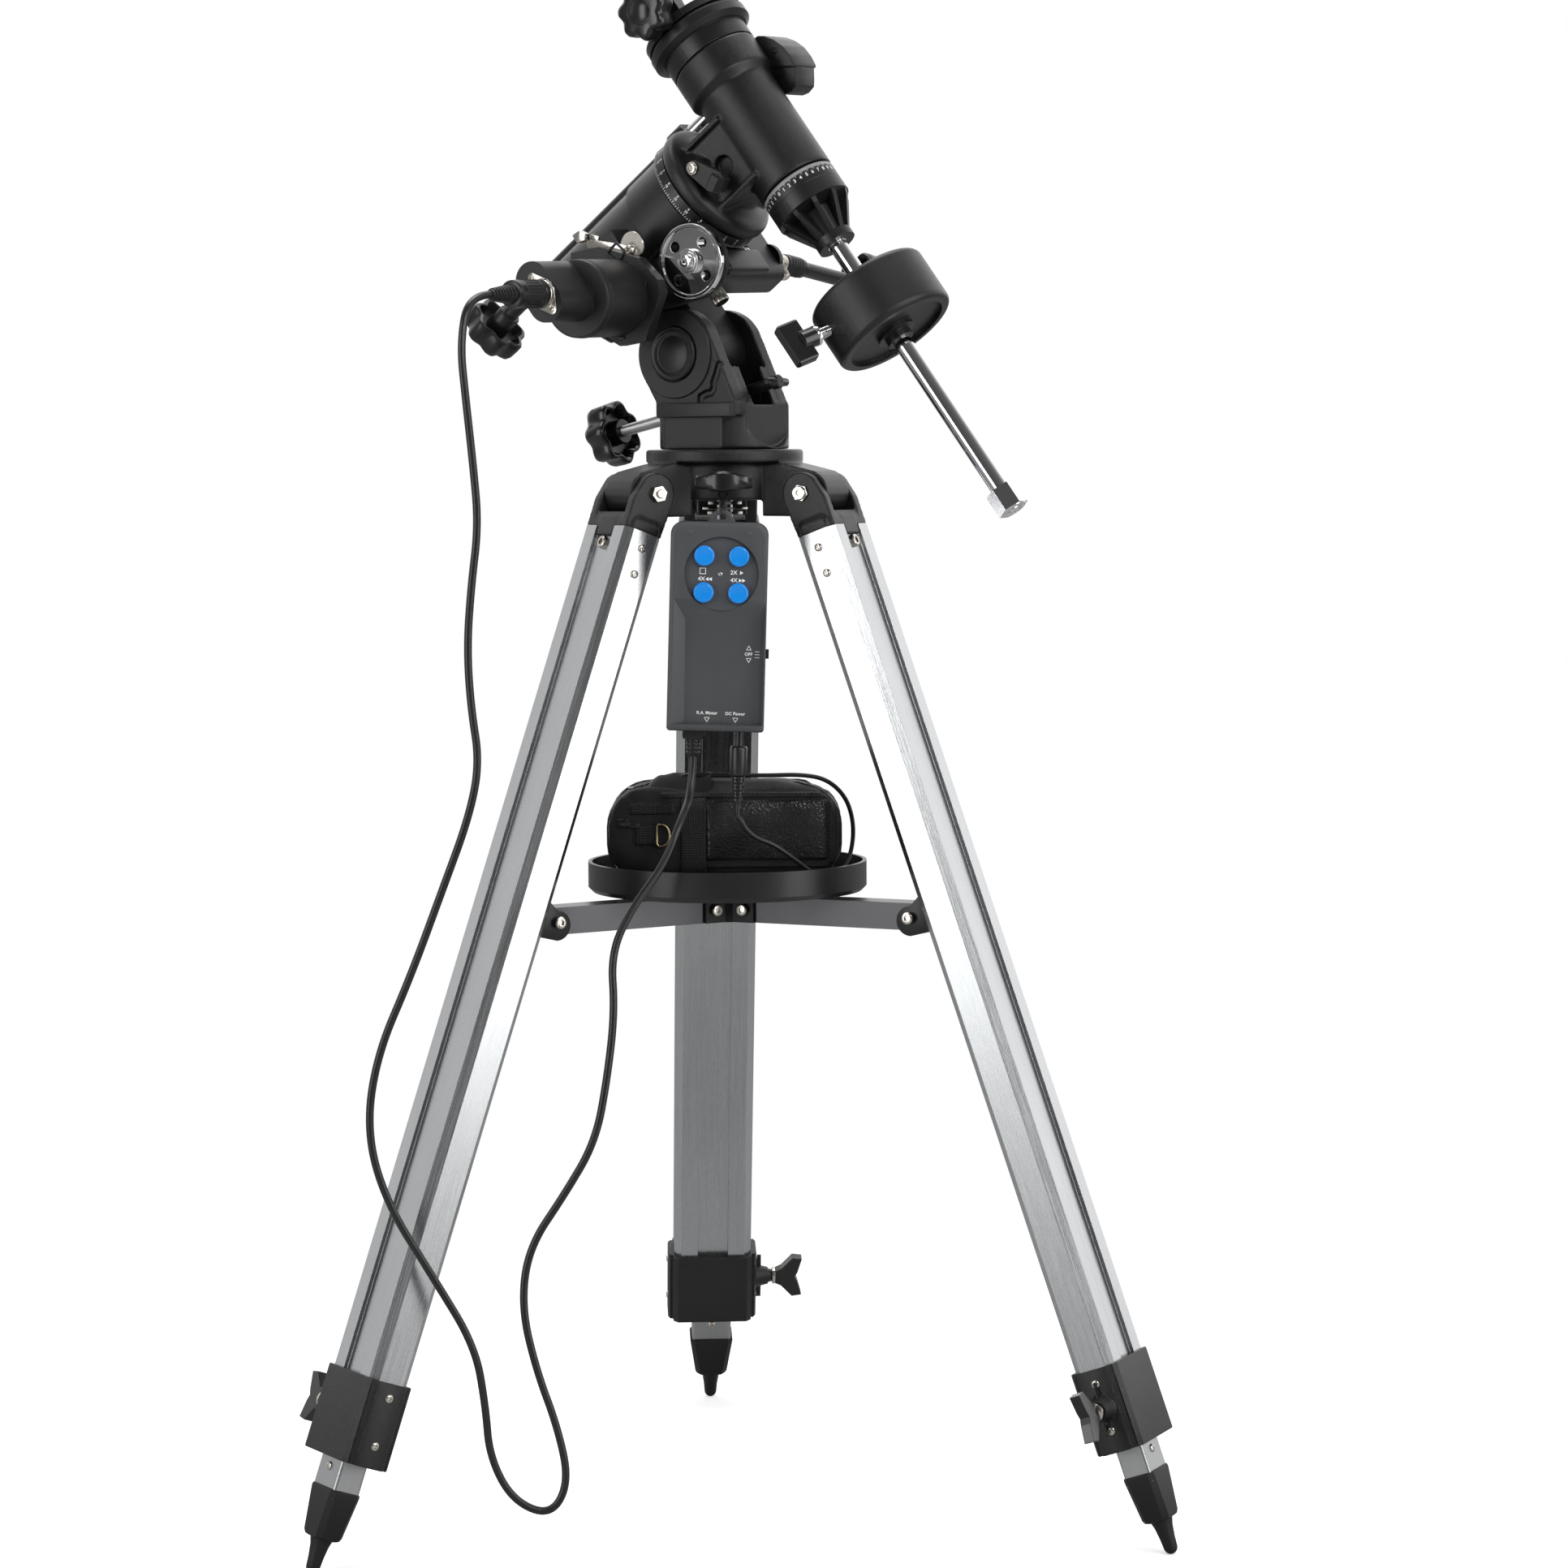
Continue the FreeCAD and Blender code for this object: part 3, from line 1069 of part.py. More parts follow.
def cord(name, diameter, points):
    """A plain tube along the route; its volume is compared with section times length."""
    wire, radii = tube_path(points)
    radius = num(diameter) / 2
    first = wire.Edges[0]
    circle = Part.makeCircle(radius, first.Vertexes[0].Point, first.tangentAt(first.FirstParameter))
    tube = wire.makePipeShell([Part.Wire([circle])], True, False, 2)
    want = math.pi * radius ** 2 * wire.Length
    print(f"{name}: length {wire.Length:.0f}, smallest radius {min(radii):.1f}, volume ratio {tube.Volume / want:.4f}")
    if abs(tube.Volume / want - 1) > 0.01:
        raise RuntimeError(f"{name} isn't a clean tube")
    return tube


MOTOR_CABLE = [
    (-170, -158, 767), (-167, -160, 734), (-163, -158, 694), (-160, -157, 656), (-165, -158, 618),
    (-168, -157, 580), (-166, -158, 543), (-161, -157, 509), (-168, -158, 475), (-185, -157, 430),
    (-205, -156, 377), (-227, -157, 327), (-234, -158, 279), (-222, -158, 234), (-193, -159, 186),
    (-168, -159, 143), (-162, -157, 104), (-160, -155, 72), (-146, -153, 43), (-122, -152, 32),
    (-110, -150, 53), (-117, -148, 88), (-130, -145, 124), (-139, -142, 164), (-134, -139, 201),
    (-111, -136, 234), (-91, -133, 267), (-83, -127, 308), (-78, -120, 348), (-80, -113, 384),
    (-66, -106, 412), (-46, -97, 438), (-38, -93, 466)]

POWER_LEAD = [(10.5, -65.4, 459.6), (15.5, -66, 459)]
POWER_SPLIT = (20.5, -65.615, 458.85)
POWER_CABLE = [
    (28.5, -65, 458.6), (37, -61, 449), (44, -55, 436), (54, -48, 425), (66, -41, 421.5), (76, -31, 428),
    (81.6, -20, 442), (82.4, -16, 458), (77.5, -14, 474), (65, -13, 485.5), (48, -13, 488.6), (26, -12, 488),
    (2, -11, 488.4), (-18, -10, 489), (-28, -10, 488.6), (-33.5, -10, 486.4)]


def cords():
    plug_place = POLAR
    axis = ("motor_ahead-3", "motor_down+2")
    body = fuse(rod("plug_r", "socket_end", "plug_end", "X", axis),
                cone("6", "3.2", "plug_end", "relief_end", "X", axis))
    node("motor_plug", body, plug_place)
    start = plug_place.multVec(Vector(num("relief_end"), num(axis[0]), num(axis[1])))
    gland = HAND.multVec(Vector(num("gland_side"), 0, num("-controller_tall-14")))
    leave = POLAR.Rotation.multVec(Vector(1, 0, 0))
    hang = HAND.Rotation.multVec(Vector(0, 0, -1))
    route = [start + leave * 0.3, start + leave * 22] + MOTOR_CABLE + [gland + hang * 24, gland]
    tube = doc.addObject("Part::Feature", "motor_tube")
    tube.Shape = cord("motor_cable", "cable_d", route)
    node("motor_cable", tube)

    low = "-controller_tall-44"
    side = ("jack_side", "0")
    plug = fuse(rod("2.75", "-controller_tall-8", "-controller_tall+5.5", "Z", side),
                rod("5.6", "-controller_tall-26", "-controller_tall-7", "Z", side),
                cone("2.6", "4", low, "-controller_tall-26", "Z", side))
    foot = HAND.multVec(Vector(num("jack_side"), 0, num(low)))
    lead = doc.addObject("Part::Feature", "power_lead")
    lead.Shape = cord("power_lead", "power_d", [foot, foot + hang * 9] + POWER_LEAD + [POWER_SPLIT])
    node("power_plug", group(moved(plug, HAND), lead))
    cable = doc.addObject("Part::Feature", "power_tube")
    cable.Shape = cord("power_cable", "power_d", [POWER_SPLIT] + POWER_CABLE)
    node("power_cable", cable)


# ---------------------------------------------------------------- the whole model
def build():
    tripod_hub()
    leg_pivot_bolts()
    center_bolt()
    azimuth_lock_screw()
    for number, turn in enumerate(LEG_TURNS, start=1):
        place = leg_frame(turn)
        leg_profile(number, place)
        leg_castings(number, place)
        leg_lock(number, place)
        leg_tube(number, place)
        leg_foot(number, place)
        spreader_arm(number, arm_frame(turn))
    spreader_hub()
    accessory_tray()
    battery_pouch()
    azimuth_base()
    altitude_axle()
    latitude_screws()
    polar_housing()
    polar_dial()
    polar_shaft()
    worm_drive()
    drive_belt()
    clutch_screw()
    motor()
    flexible_control()
    declination_housing()
    clutch_lever()
    declination_shaft()
    declination_control()
    declination_dial()
    counterweight_bar()
    counterweight()
    saddle()
    hand_controller()
    cords()


def check_and_export():
    doc.recompute()
    bad = [o.Label for o in doc.Objects if {"Invalid", "Error"} & set(o.State)]
    if bad:
        raise RuntimeError(f"failed objects: {bad}")
    for piece in NODES:
        if piece.Shape.isNull() or not piece.Shape.isValid() or not piece.Shape.Solids:
            raise RuntimeError(f"{piece.Label} has no valid shape")
    os.makedirs("parts", exist_ok=True)
    for piece in NODES:
        piece.Shape.exportStep(os.path.join("parts", piece.Label + ".step"))
    print(f"{len(NODES)} nodes written")


build()
check_and_export()
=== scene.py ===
import json
import math
import bmesh
import bpy
from mathutils import Matrix, Vector, noise
from mathutils.bvhtree import BVHTree


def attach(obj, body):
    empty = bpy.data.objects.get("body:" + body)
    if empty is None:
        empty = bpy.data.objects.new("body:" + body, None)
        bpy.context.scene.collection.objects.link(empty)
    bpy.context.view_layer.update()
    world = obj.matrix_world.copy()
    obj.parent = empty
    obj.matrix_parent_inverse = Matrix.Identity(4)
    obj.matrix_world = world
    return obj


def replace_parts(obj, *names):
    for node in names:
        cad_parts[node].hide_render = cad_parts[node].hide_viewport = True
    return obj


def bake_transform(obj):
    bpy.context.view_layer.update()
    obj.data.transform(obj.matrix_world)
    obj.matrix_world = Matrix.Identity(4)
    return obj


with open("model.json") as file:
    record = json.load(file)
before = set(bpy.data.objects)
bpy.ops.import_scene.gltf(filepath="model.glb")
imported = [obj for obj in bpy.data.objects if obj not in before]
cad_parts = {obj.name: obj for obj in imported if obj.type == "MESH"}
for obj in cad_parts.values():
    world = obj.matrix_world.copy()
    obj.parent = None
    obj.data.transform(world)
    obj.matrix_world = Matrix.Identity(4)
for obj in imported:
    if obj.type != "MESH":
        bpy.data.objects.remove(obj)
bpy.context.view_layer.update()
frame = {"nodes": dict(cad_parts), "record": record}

scene = bpy.context.scene
pi = math.pi


# ---------------------------------------------------------------- frames, in millimetres
def shift(x, y, z): return Matrix.Translation((x, y, z))


def spin(axis, degrees): return Matrix.Rotation(math.radians(degrees), 4, axis)


METRE = Matrix.Scale(0.001, 4)
WORLD = METRE
FRONT = METRE @ spin("Z", -3.6)
TO_FRONT = FRONT.inverted()
AZIMUTH = METRE @ spin("Z", -128.6)
AXLE = (-13.7, 763.8)                   # the altitude axle, as y and height in the azimuth frame
POLAR = AZIMUTH @ shift(0, *AXLE) @ spin("X", -53.4) @ shift(0, -83.9, 121.9) @ spin("Z", 3)
DECLINATION = POLAR @ spin("X", -90)
LATITUDE = AZIMUTH @ shift(0, -42, 723.5) @ spin("X", 12)
CONTROL = POLAR @ shift(-50, 45, -72) @ spin("Y", -90) @ spin("X", -13)
HAND = METRE @ spin("Z", -3.6) @ shift(-2.2, -64.5, 655.5) @ spin("Y", 1.8)
LEGS = {i: METRE @ spin("Z", turn - 90) @ shift(0, 67.4, 673.5) @ spin("X", 20)
        for i, turn in ((1, 90), (2, 210), (3, 330))}


def turned(r, a, z=0):
    """The point at radius r, angle a (radians) and height z."""
    return Vector((r * math.cos(a), r * math.sin(a), z))


# ---------------------------------------------------------------- camera and studio
def placed(name, data):
    """A new object in the scene."""
    obj = bpy.data.objects.new(name, data)
    scene.collection.objects.link(obj)
    return obj


eye = Vector((-0.1338, -2.6969, 0.6911))
azimuth, pitch = math.radians(86.36), math.radians(4.438)
ahead = Vector((math.cos(azimuth) * math.cos(pitch), math.sin(azimuth) * math.cos(pitch), -math.sin(pitch)))
lens = bpy.data.cameras.new("camera")
lens.lens, lens.sensor_width = 94.15, 36
camera = placed("camera", lens)
camera.matrix_world = (Matrix.Translation(eye) @ ahead.to_track_quat("-Z", "Y").to_matrix().to_4x4()
                       @ Matrix.Rotation(math.radians(-0.342), 4, "Z"))
scene.camera = camera
scene.view_settings.view_transform = "Standard"


def softbox(name, place, aim, width, height, power):
    lamp = bpy.data.lights.new(name, "AREA")
    lamp.shape, lamp.size, lamp.size_y, lamp.energy = "RECTANGLE", width, height, power
    holder = placed(name, lamp)
    holder.location = place
    holder.rotation_euler = (Vector(aim) - Vector(place)).to_track_quat("-Z", "Y").to_euler()


softbox("left_softbox", (-1.9, -1.3, 0.9), (0, 0, 0.5), 0.9, 2.2, 25)
softbox("right_softbox", (1.9, -1.3, 0.9), (0, 0, 0.5), 0.9, 2.2, 25)
softbox("key_softbox", (0.8, -2.0, 1.7), (0, 0, 0.7), 0.5, 0.7, 14)
softbox("top_softbox", (0.0, 0.3, 2.3), (0, 0, 0.7), 1.4, 0.9, 20)


class Nodes:
    """A short way to write a node tree, which starts empty."""
    def __init__(self, tree):
        self.tree = tree
        tree.nodes.clear()

    def add(self, kind, inputs=None, **settings):
        node = self.tree.nodes.new(kind)
        for key, value in settings.items():
            setattr(node, key, value)
        for key, value in (inputs or {}).items():
            socket = node.inputs[key]
            if isinstance(value, bpy.types.NodeSocket):
                self.tree.links.new(value, socket)
            else:
                socket.default_value = value
        return node

    def out(self, kind, inputs=None, **settings):
        return self.add(kind, inputs, **settings).outputs[0]

    def ramp(self, value, stops):
        node = self.add("ShaderNodeValToRGB", {"Fac": value})
        while len(node.color_ramp.elements) < len(stops):
            node.color_ramp.elements.new(0.5)
        for element, (at, colour) in zip(node.color_ramp.elements, stops):
            element.position = at
            element.color = (*colour, 1) if isinstance(colour, tuple) else (colour, colour, colour, 1)
        return node.outputs["Color"]

    def span(self, value, low, high, first, last, **settings):
        """The value, carried from low..high over to first..last."""
        return self.out("ShaderNodeMapRange", {0: value, 1: low, 2: high, 3: first, 4: last}, **settings)

    def noise(self, place, scale, detail, **more):
        inputs = {"Vector": place, "Scale": scale, "Detail": detail, **more}
        return self.add("ShaderNodeTexNoise", inputs).outputs["Fac"]

    def rounded(self, radius):
        """The normal with the edges rounded by that radius, in metres."""
        return self.out("ShaderNodeBevel", {"Radius": radius}, samples=4)

    def bump(self, height, distance, normal=None, strength=1.0):
        under = {"Normal": normal} if normal else {}
        return self.out("ShaderNodeBump", {"Height": height, "Strength": strength, "Distance": distance, **under})

    def over(self, share, under, colour):
        """A plain colour laid over another by that share."""
        mixed = self.add("ShaderNodeMix", {"Factor": share}, data_type="RGBA")
        self.tree.links.new(under, mixed.inputs[6])
        mixed.inputs[7].default_value = (*colour, 1)
        return mixed.outputs[2]

    def mix(self, share, first, last):
        return self.out("ShaderNodeMixShader", {0: share, 1: first, 2: last})

    def seen(self):
        """One for a ray that shows what stands behind the object."""
        rays = self.add("ShaderNodeLightPath").outputs
        return self.out("ShaderNodeMath", {0: rays["Is Camera Ray"], 1: rays["Is Transmission Ray"]},
                        operation="MAXIMUM"), rays["Is Glossy Ray"]

    def surface(self, inputs):
        self.add("ShaderNodeOutputMaterial", {0: self.out("ShaderNodeBsdfPrincipled", inputs)})


def blank(name):
    """A new material, its node tree and its object coordinates."""
    paint = bpy.data.materials.new(name)
    paint.use_nodes = True
    n = Nodes(paint.node_tree)
    return paint, n, n.add("ShaderNodeTexCoord").outputs["Object"]


def studio_world():
    world = bpy.data.worlds.new("studio")
    scene.world = world
    world.use_nodes = True
    n = Nodes(world.node_tree)
    seen, glossy = n.seen()
    way = n.add("ShaderNodeSeparateXYZ", {0: n.add("ShaderNodeTexCoord").outputs["Generated"]}).outputs
    walls = n.ramp(n.span(way["Y"], -1, 1, 0, 1), [(0.0, 0.06), (0.3, 0.10), (0.5, 0.26), (0.7, 0.72), (0.85, 1.0)])
    # the wall on the right is the brighter one
    bright = n.out("ShaderNodeMath", {0: way["X"], 1: 0.41, 2: 1.31}, operation="MULTIPLY_ADD")
    walls = n.out("ShaderNodeVectorMath", {0: walls, "Scale": bright}, operation="SCALE")
    up = n.ramp(n.span(way["Z"], -1, 1, 0, 1), [(0.3, 0.16), (0.5, 0.24), (0.8, 0.62)])
    light, mirror, white = (n.out("ShaderNodeBackground", {"Color": colour, "Strength": 1.0})
                            for colour in (up, walls, (1, 1, 1, 1)))
    n.add("ShaderNodeOutputWorld", {0: n.mix(seen, n.mix(glossy, light, mirror), white)})


def floor_material():
    """Lit paper under the object, which goes over into plain white further out."""
    paint, n, place = blank("floor_paper")
    far = n.add("ShaderNodeVectorMath", {0: place}, operation="LENGTH").outputs["Value"]
    fade = n.span(far, 0.35, 1.0, 0.0, 1.0, interpolation_type="SMOOTHSTEP")
    paper = n.out("ShaderNodeBsdfPrincipled", {"Base Color": (0.86, 0.86, 0.86, 1), "Roughness": 0.9})
    glow, white = (n.out("ShaderNodeEmission", {"Color": (1, 1, 1, 1), "Strength": power}) for power in (0.40, 1.0))
    lit = n.out("ShaderNodeAddShader", {0: paper, 1: glow})
    bounce = n.out("ShaderNodeBsdfDiffuse", {"Color": (0.40, 0.40, 0.40, 1)})
    n.add("ShaderNodeOutputMaterial", {0: n.mix(n.seen()[0], bounce, n.mix(fade, lit, white))})
    return paint


studio_world()
ground = bpy.data.meshes.new("floor")
ground.from_pydata([(-30, -30, 0), (30, -30, 0), (30, 30, 0), (-30, 30, 0)], [], [(0, 1, 2, 3)])
ground.materials.append(floor_material())
floor = placed("floor", ground)


# ---------------------------------------------------------------- materials
def material(name, colour, rough, metallic=0.0, grain=None, streaks=None, wear=None, mottle=0.25,
             bevel=0.0004, coat=0.0, specular=0.5, along=None):
    """A surface with colour variation, a bump of its own scale, and rounded edges."""
    paint, n, place = blank(name)
    if along is not None:
        place = n.out("ShaderNodeMapping", {"Vector": place, "Rotation": along})
    cloud = n.noise(place, 14, 5, Roughness=0.6)
    base = n.ramp(cloud, [(0.3, tuple(c * (1 - mottle) for c in colour)),
                          (0.7, tuple(min(1, c * (1 + mottle)) for c in colour))])
    roughness = n.span(cloud, 0.3, 0.7, rough * 0.85, min(1, rough * 1.15))
    normal = n.rounded(bevel) if bevel else None
    height = None
    if grain:
        scale, depth = grain
        height = n.noise(place, scale, 2)
    if streaks:
        scale, depth = streaks
        long = n.out("ShaderNodeMapping", {"Vector": place, "Scale": (scale, scale, scale * 0.012)})
        height = n.noise(long, 1, 4, Roughness=0.7)
        tint = n.span(height, 0.35, 0.65, 0.94, 1.04)
        base = n.out("ShaderNodeVectorMath", {0: base, "Scale": tint}, operation="SCALE")
        roughness = n.span(height, 0.3, 0.7, rough * 0.8, rough * 1.25)
    if wear:
        colour_at_edge, amount = wear
        sharp = n.add("ShaderNodeNewGeometry").outputs["Normal"]
        bend = n.add("ShaderNodeVectorMath", {0: sharp, 1: n.rounded(0.0011)}, operation="DOT_PRODUCT").outputs["Value"]
        nicks = n.span(n.noise(place, 260, 3), 0.45, 0.62, 0.0, amount)
        worn = n.out("ShaderNodeMath", {0: n.span(bend, 0.97, 0.80, 0.0, 1.0), 1: nicks}, operation="MULTIPLY")
        base = n.over(worn, base, colour_at_edge)
    if height:
        normal = n.bump(height, depth, normal)
    n.surface({"Base Color": base, "Roughness": roughness, "Metallic": metallic, "Coat Weight": coat,
               "Coat Roughness": 0.05, "Specular IOR Level": specular, **({"Normal": normal} if normal else {})})
    return paint


bright = (0.20, 0.20, 0.21)
MATERIALS = {
    "cast_black": material("cast_black_paint", (0.0065, 0.0065, 0.007), 0.35, grain=(2600, 0.00014),
                           wear=(bright, 0.25), specular=0.45),
    "satin_black": material("satin_black_paint", (0.009, 0.009, 0.0095), 0.34, grain=(3400, 0.00005),
                            wear=(bright, 0.2), specular=0.40),
    "tripod_black": material("tripod_black_paint", (0.007, 0.007, 0.0075), 0.36, grain=(1700, 0.00024),
                             wear=(bright, 0.2), specular=0.45),
    "arm_alloy": material("arm_sheet", (0.085, 0.085, 0.09), 0.36, metallic=1.0, grain=(900, 0.00003), mottle=0.12),
    "rubber_black": material("foot_rubber", (0.007, 0.007, 0.0072), 0.5, grain=(2200, 0.00006), bevel=0.0008,
                             specular=0.35),
    "knob_black": material("knob_gloss", (0.006, 0.006, 0.0065), 0.27, grain=(1500, 0.00002), bevel=0.001, coat=0.1),
    "plastic_black": material("moulded_black", (0.009, 0.009, 0.0095), 0.36, grain=(2800, 0.00004), bevel=0.0006,
                              specular=0.42),
    "chrome": material("polished_chrome", (0.78, 0.78, 0.79), 0.07, metallic=1.0, mottle=0.04, grain=(60, 0.00002)),
    "steel": material("turned_steel", (0.55, 0.55, 0.56), 0.26, metallic=1.0, mottle=0.08, grain=(1500, 0.00003)),
    "nickel": material("nickel_plate", (0.60, 0.57, 0.51), 0.20, metallic=1.0, mottle=0.08, grain=(900, 0.00002)),
    "grey_case": material("grey_moulded_case", (0.060, 0.062, 0.067), 0.46, grain=(3000, 0.00006), mottle=0.1,
                          specular=0.4),
    "button_blue": material("blue_button", (0.005, 0.24, 0.74), 0.16, mottle=0.06, bevel=0.0008, coat=0.5),
    "bag_fabric": material("bag_fabric_plain", (0.006, 0.006, 0.007), 0.7, grain=(900, 0.0002)),
    "cable_black": material("cable_pvc", (0.009, 0.009, 0.0095), 0.34, grain=(1200, 0.00004), bevel=0.0),
    "motor_black": material("motor_black_case", (0.010, 0.010, 0.011), 0.40, grain=(3200, 0.00008),
                            wear=(bright, 0.2), specular=0.42),
}
for number, turn in ((1, 0), (2, 120), (3, 240)):
    # the grain of an extrusion runs along its leg
    along = Matrix.Rotation(math.radians(turn), 3, "Z") @ Matrix.Rotation(math.radians(20), 3, "X")
    back = along.inverted().to_euler()
    MATERIALS[f"leg_{number}"] = material(f"leg_extrusion_{number}", (0.50, 0.51, 0.52), 0.26, metallic=1.0,
                                          streaks=(1500, 0.00002), mottle=0.03, bevel=0.0006, along=back)
    MATERIALS[f"tube_{number}"] = material(f"leg_tube_alloy_{number}", (0.42, 0.425, 0.43), 0.34, metallic=1.0,
                                           streaks=(1700, 0.00002), mottle=0.05, bevel=0.0006, along=back)


def bar_material():
    """Chrome on the bar, black paint on the ribbed cone round its upper end, by the distance from the axis."""
    paint, n, place = blank("bar_chrome_and_cone")
    back = DECLINATION.inverted()
    local = n.out("ShaderNodeMapping", {"Vector": place, "Location": tuple(back.to_translation() * 0.001),
                                        "Rotation": back.to_euler()})
    flat = n.out("ShaderNodeVectorMath", {0: local, 1: (1, 1, 0)}, operation="MULTIPLY")
    far = n.add("ShaderNodeVectorMath", {0: flat}, operation="LENGTH").outputs["Value"]
    bar = n.out("ShaderNodeMath", {0: far, 1: 0.0066}, operation="LESS_THAN")
    black = n.ramp(n.noise(place, 14, 5), [(0.3, (0.006, 0.006, 0.0065)), (0.7, (0.010, 0.010, 0.0105))])
    depth = n.span(bar, 0.0, 1.0, 0.6, 0.0)
    n.surface({"Base Color": n.over(bar, black, (0.80, 0.80, 0.81)), "Roughness": n.span(bar, 0.0, 1.0, 0.36, 0.06),
               "Metallic": bar, "Specular IOR Level": 0.4,
               "Normal": n.bump(n.noise(place, 2600, 2), 0.0001, n.rounded(0.0004), depth)})
    return paint


MATERIALS["bar"] = bar_material()
slots = {part["node"]: part["material_slot"] for part in frame["record"]["subparts"]}
for name, obj in frame["nodes"].items():
    slot = "bar" if name == "counterweight_bar" else slots[name]
    if slot in ("leg_alloy", "tube_alloy"):
        slot = slot.split("_")[0] + "_" + name[-1]
    for index in range(len(obj.material_slots)):
        obj.material_slots[index].material = MATERIALS[slot]
    if not obj.material_slots:
        obj.data.materials.append(MATERIALS[slot])


# ---------------------------------------------------------------- mesh helpers
def link(name, mesh, look, body):
    """A piece in the scene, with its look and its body."""
    obj = placed(name, mesh)
    mesh.materials.clear()
    mesh.materials.append(look)
    if body:
        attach(obj, body)
    return obj


def solid(bm, name):
    mesh = bpy.data.meshes.new(name)
    bmesh.ops.recalc_face_normals(bm, faces=bm.faces)
    bm.to_mesh(mesh)
    bm.free()
    return mesh


def shaded(mesh, smooth):
    """Smooth, but sharp along every edge of more than that many degrees."""
    mesh.shade_smooth()
    mesh.set_sharp_from_angle(angle=math.radians(smooth))
    return mesh


def finish_mesh(bm, name, smooth=35):
    mesh = solid(bm, name)
    return shaded(mesh, smooth) if smooth else mesh


def evaluated(obj):
    """The mesh of an object with its modifiers worked out."""
    bpy.context.view_layer.update()
    return bpy.data.meshes.new_from_object(obj.evaluated_get(bpy.context.evaluated_depsgraph_get()))


def spline_points(route, resolution=8):
    """Points read from the smooth curve that has the route as its control points."""
    data = curve_data("read", route, 0)
    data.splines[0].resolution_u = resolution
    holder = placed("read", data)
    points = [v.co.copy() for v in evaluated(holder).vertices]
    bpy.data.objects.remove(holder)
    return points


def curve_data(name, route, radius):
    """A round tube along a smooth curve that the route pulls at."""
    data = bpy.data.curves.new(name, "CURVE")
    data.dimensions = "3D"
    spline = data.splines.new("NURBS")
    spline.points.add(len(route) - 1)
    for point, place in zip(spline.points, route):
        point.co = (*place, 1)
    spline.order_u = 3
    spline.use_endpoint_u = True
    spline.resolution_u = 10
    data.bevel_depth = radius
    data.bevel_resolution = 5
    data.use_fill_caps = True
    return data


def skin(bm, rows, ends=(True, True)):
    """Faces between rows of equally many points, each row closed, with the first and last row filled in."""
    for a, b in zip(rows, rows[1:]):
        for k in range(len(a)):
            bm.faces.new((a[k], a[(k + 1) % len(a)], b[(k + 1) % len(a)], b[k]))
    if ends[0]:
        bm.faces.new(rows[0][::-1])
    if ends[1]:
        bm.faces.new(rows[-1])


def sweep(bm, points, radius, sides):
    """A tube along points."""
    tangents = []
    for i in range(len(points)):
        a, b = points[max(i - 1, 0)], points[min(i + 1, len(points) - 1)]
        tangents.append((b - a).normalized())
    across = tangents[0].orthogonal().normalized()
    section = [(radius * math.cos(2 * pi * k / sides), radius * math.sin(2 * pi * k / sides)) for k in range(sides)]
    rings = []
    for i, point in enumerate(points):
        across = (across - tangents[i] * across.dot(tangents[i])).normalized()
        up = tangents[i].cross(across)
        rings.append([bm.verts.new(point + across * u + up * v) for u, v in section])
    skin(bm, rings)


# ---------------------------------------------------------------- cords
MOTOR_CABLE = [(-170, -158, 767), (-167, -160, 734), (-163, -158, 694), (-160, -157, 656), (-165, -158, 618),
               (-168, -157, 580), (-166, -158, 543), (-161, -157, 509), (-168, -158, 475), (-185, -157, 430),
               (-205, -156, 377), (-227, -157, 327), (-234, -158, 279), (-222, -158, 234), (-193, -159, 186),
               (-168, -159, 143), (-162, -157, 104), (-160, -155, 72), (-146, -153, 43), (-122, -152, 32),
               (-110, -150, 53), (-117, -148, 88), (-130, -145, 124), (-139, -142, 164), (-134, -139, 201),
               (-111, -136, 234), (-91, -133, 267), (-83, -127, 308), (-78, -120, 348), (-80, -113, 384),
               (-66, -106, 412), (-45, -97, 438), (-34, -91, 466)]
POWER_CABLE = [(5.5, -65.5, 464), (9, -66, 457), (16, -65.5, 451), (26, -63, 447.5), (36, -59, 440.5),
               (45, -54, 433), (55, -47.5, 425), (66, -41, 421.5), (76, -31, 428), (81.6, -20, 442),
               (82.4, -16, 458), (77.5, -14, 474), (65, -13, 485.5), (48, -13, 488.6), (26, -12, 488),
               (2, -11, 488.4), (-18, -10, 489), (-28, -10, 488.6), (-33.5, -10, 486.4)]


def metres(points): return [Vector(p) * 0.001 for p in points]


# the round connector on the motor's end as y and z in the polar frame, and the two sockets under the controller as x
SOCKET = (33, -119.2)
GLAND, POWER_SOCKET = -14, 15.5
cable_start = POLAR @ Vector((200, *SOCKET))
leave = POLAR @ Vector((201, *SOCKET)) - cable_start
gland = HAND @ Vector((GLAND, 0, -151))
hang = HAND @ Vector((GLAND, 0, -152)) - gland
route = [cable_start, cable_start + leave * 22] + metres(MOTOR_CABLE) + [gland + hang * 24, gland]
motor_cable = link("motor_cable_run", curve_data("motor_cable_run", route, 0.0025), MATERIALS["cable_black"], "hub")
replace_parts(motor_cable, "motor_cable")

plug_end = HAND @ Vector((POWER_SOCKET, 0, -181))
down = HAND @ Vector((POWER_SOCKET, 0, -182)) - plug_end
power_points = spline_points([plug_end, plug_end + down * 9] + metres(POWER_CABLE))
bm = bmesh.new()
sweep(bm, power_points, 0.0015, 10)
power_cable = link("power_cable_run", finish_mesh(bm, "power_cable_run", 60), MATERIALS["cable_black"], None)


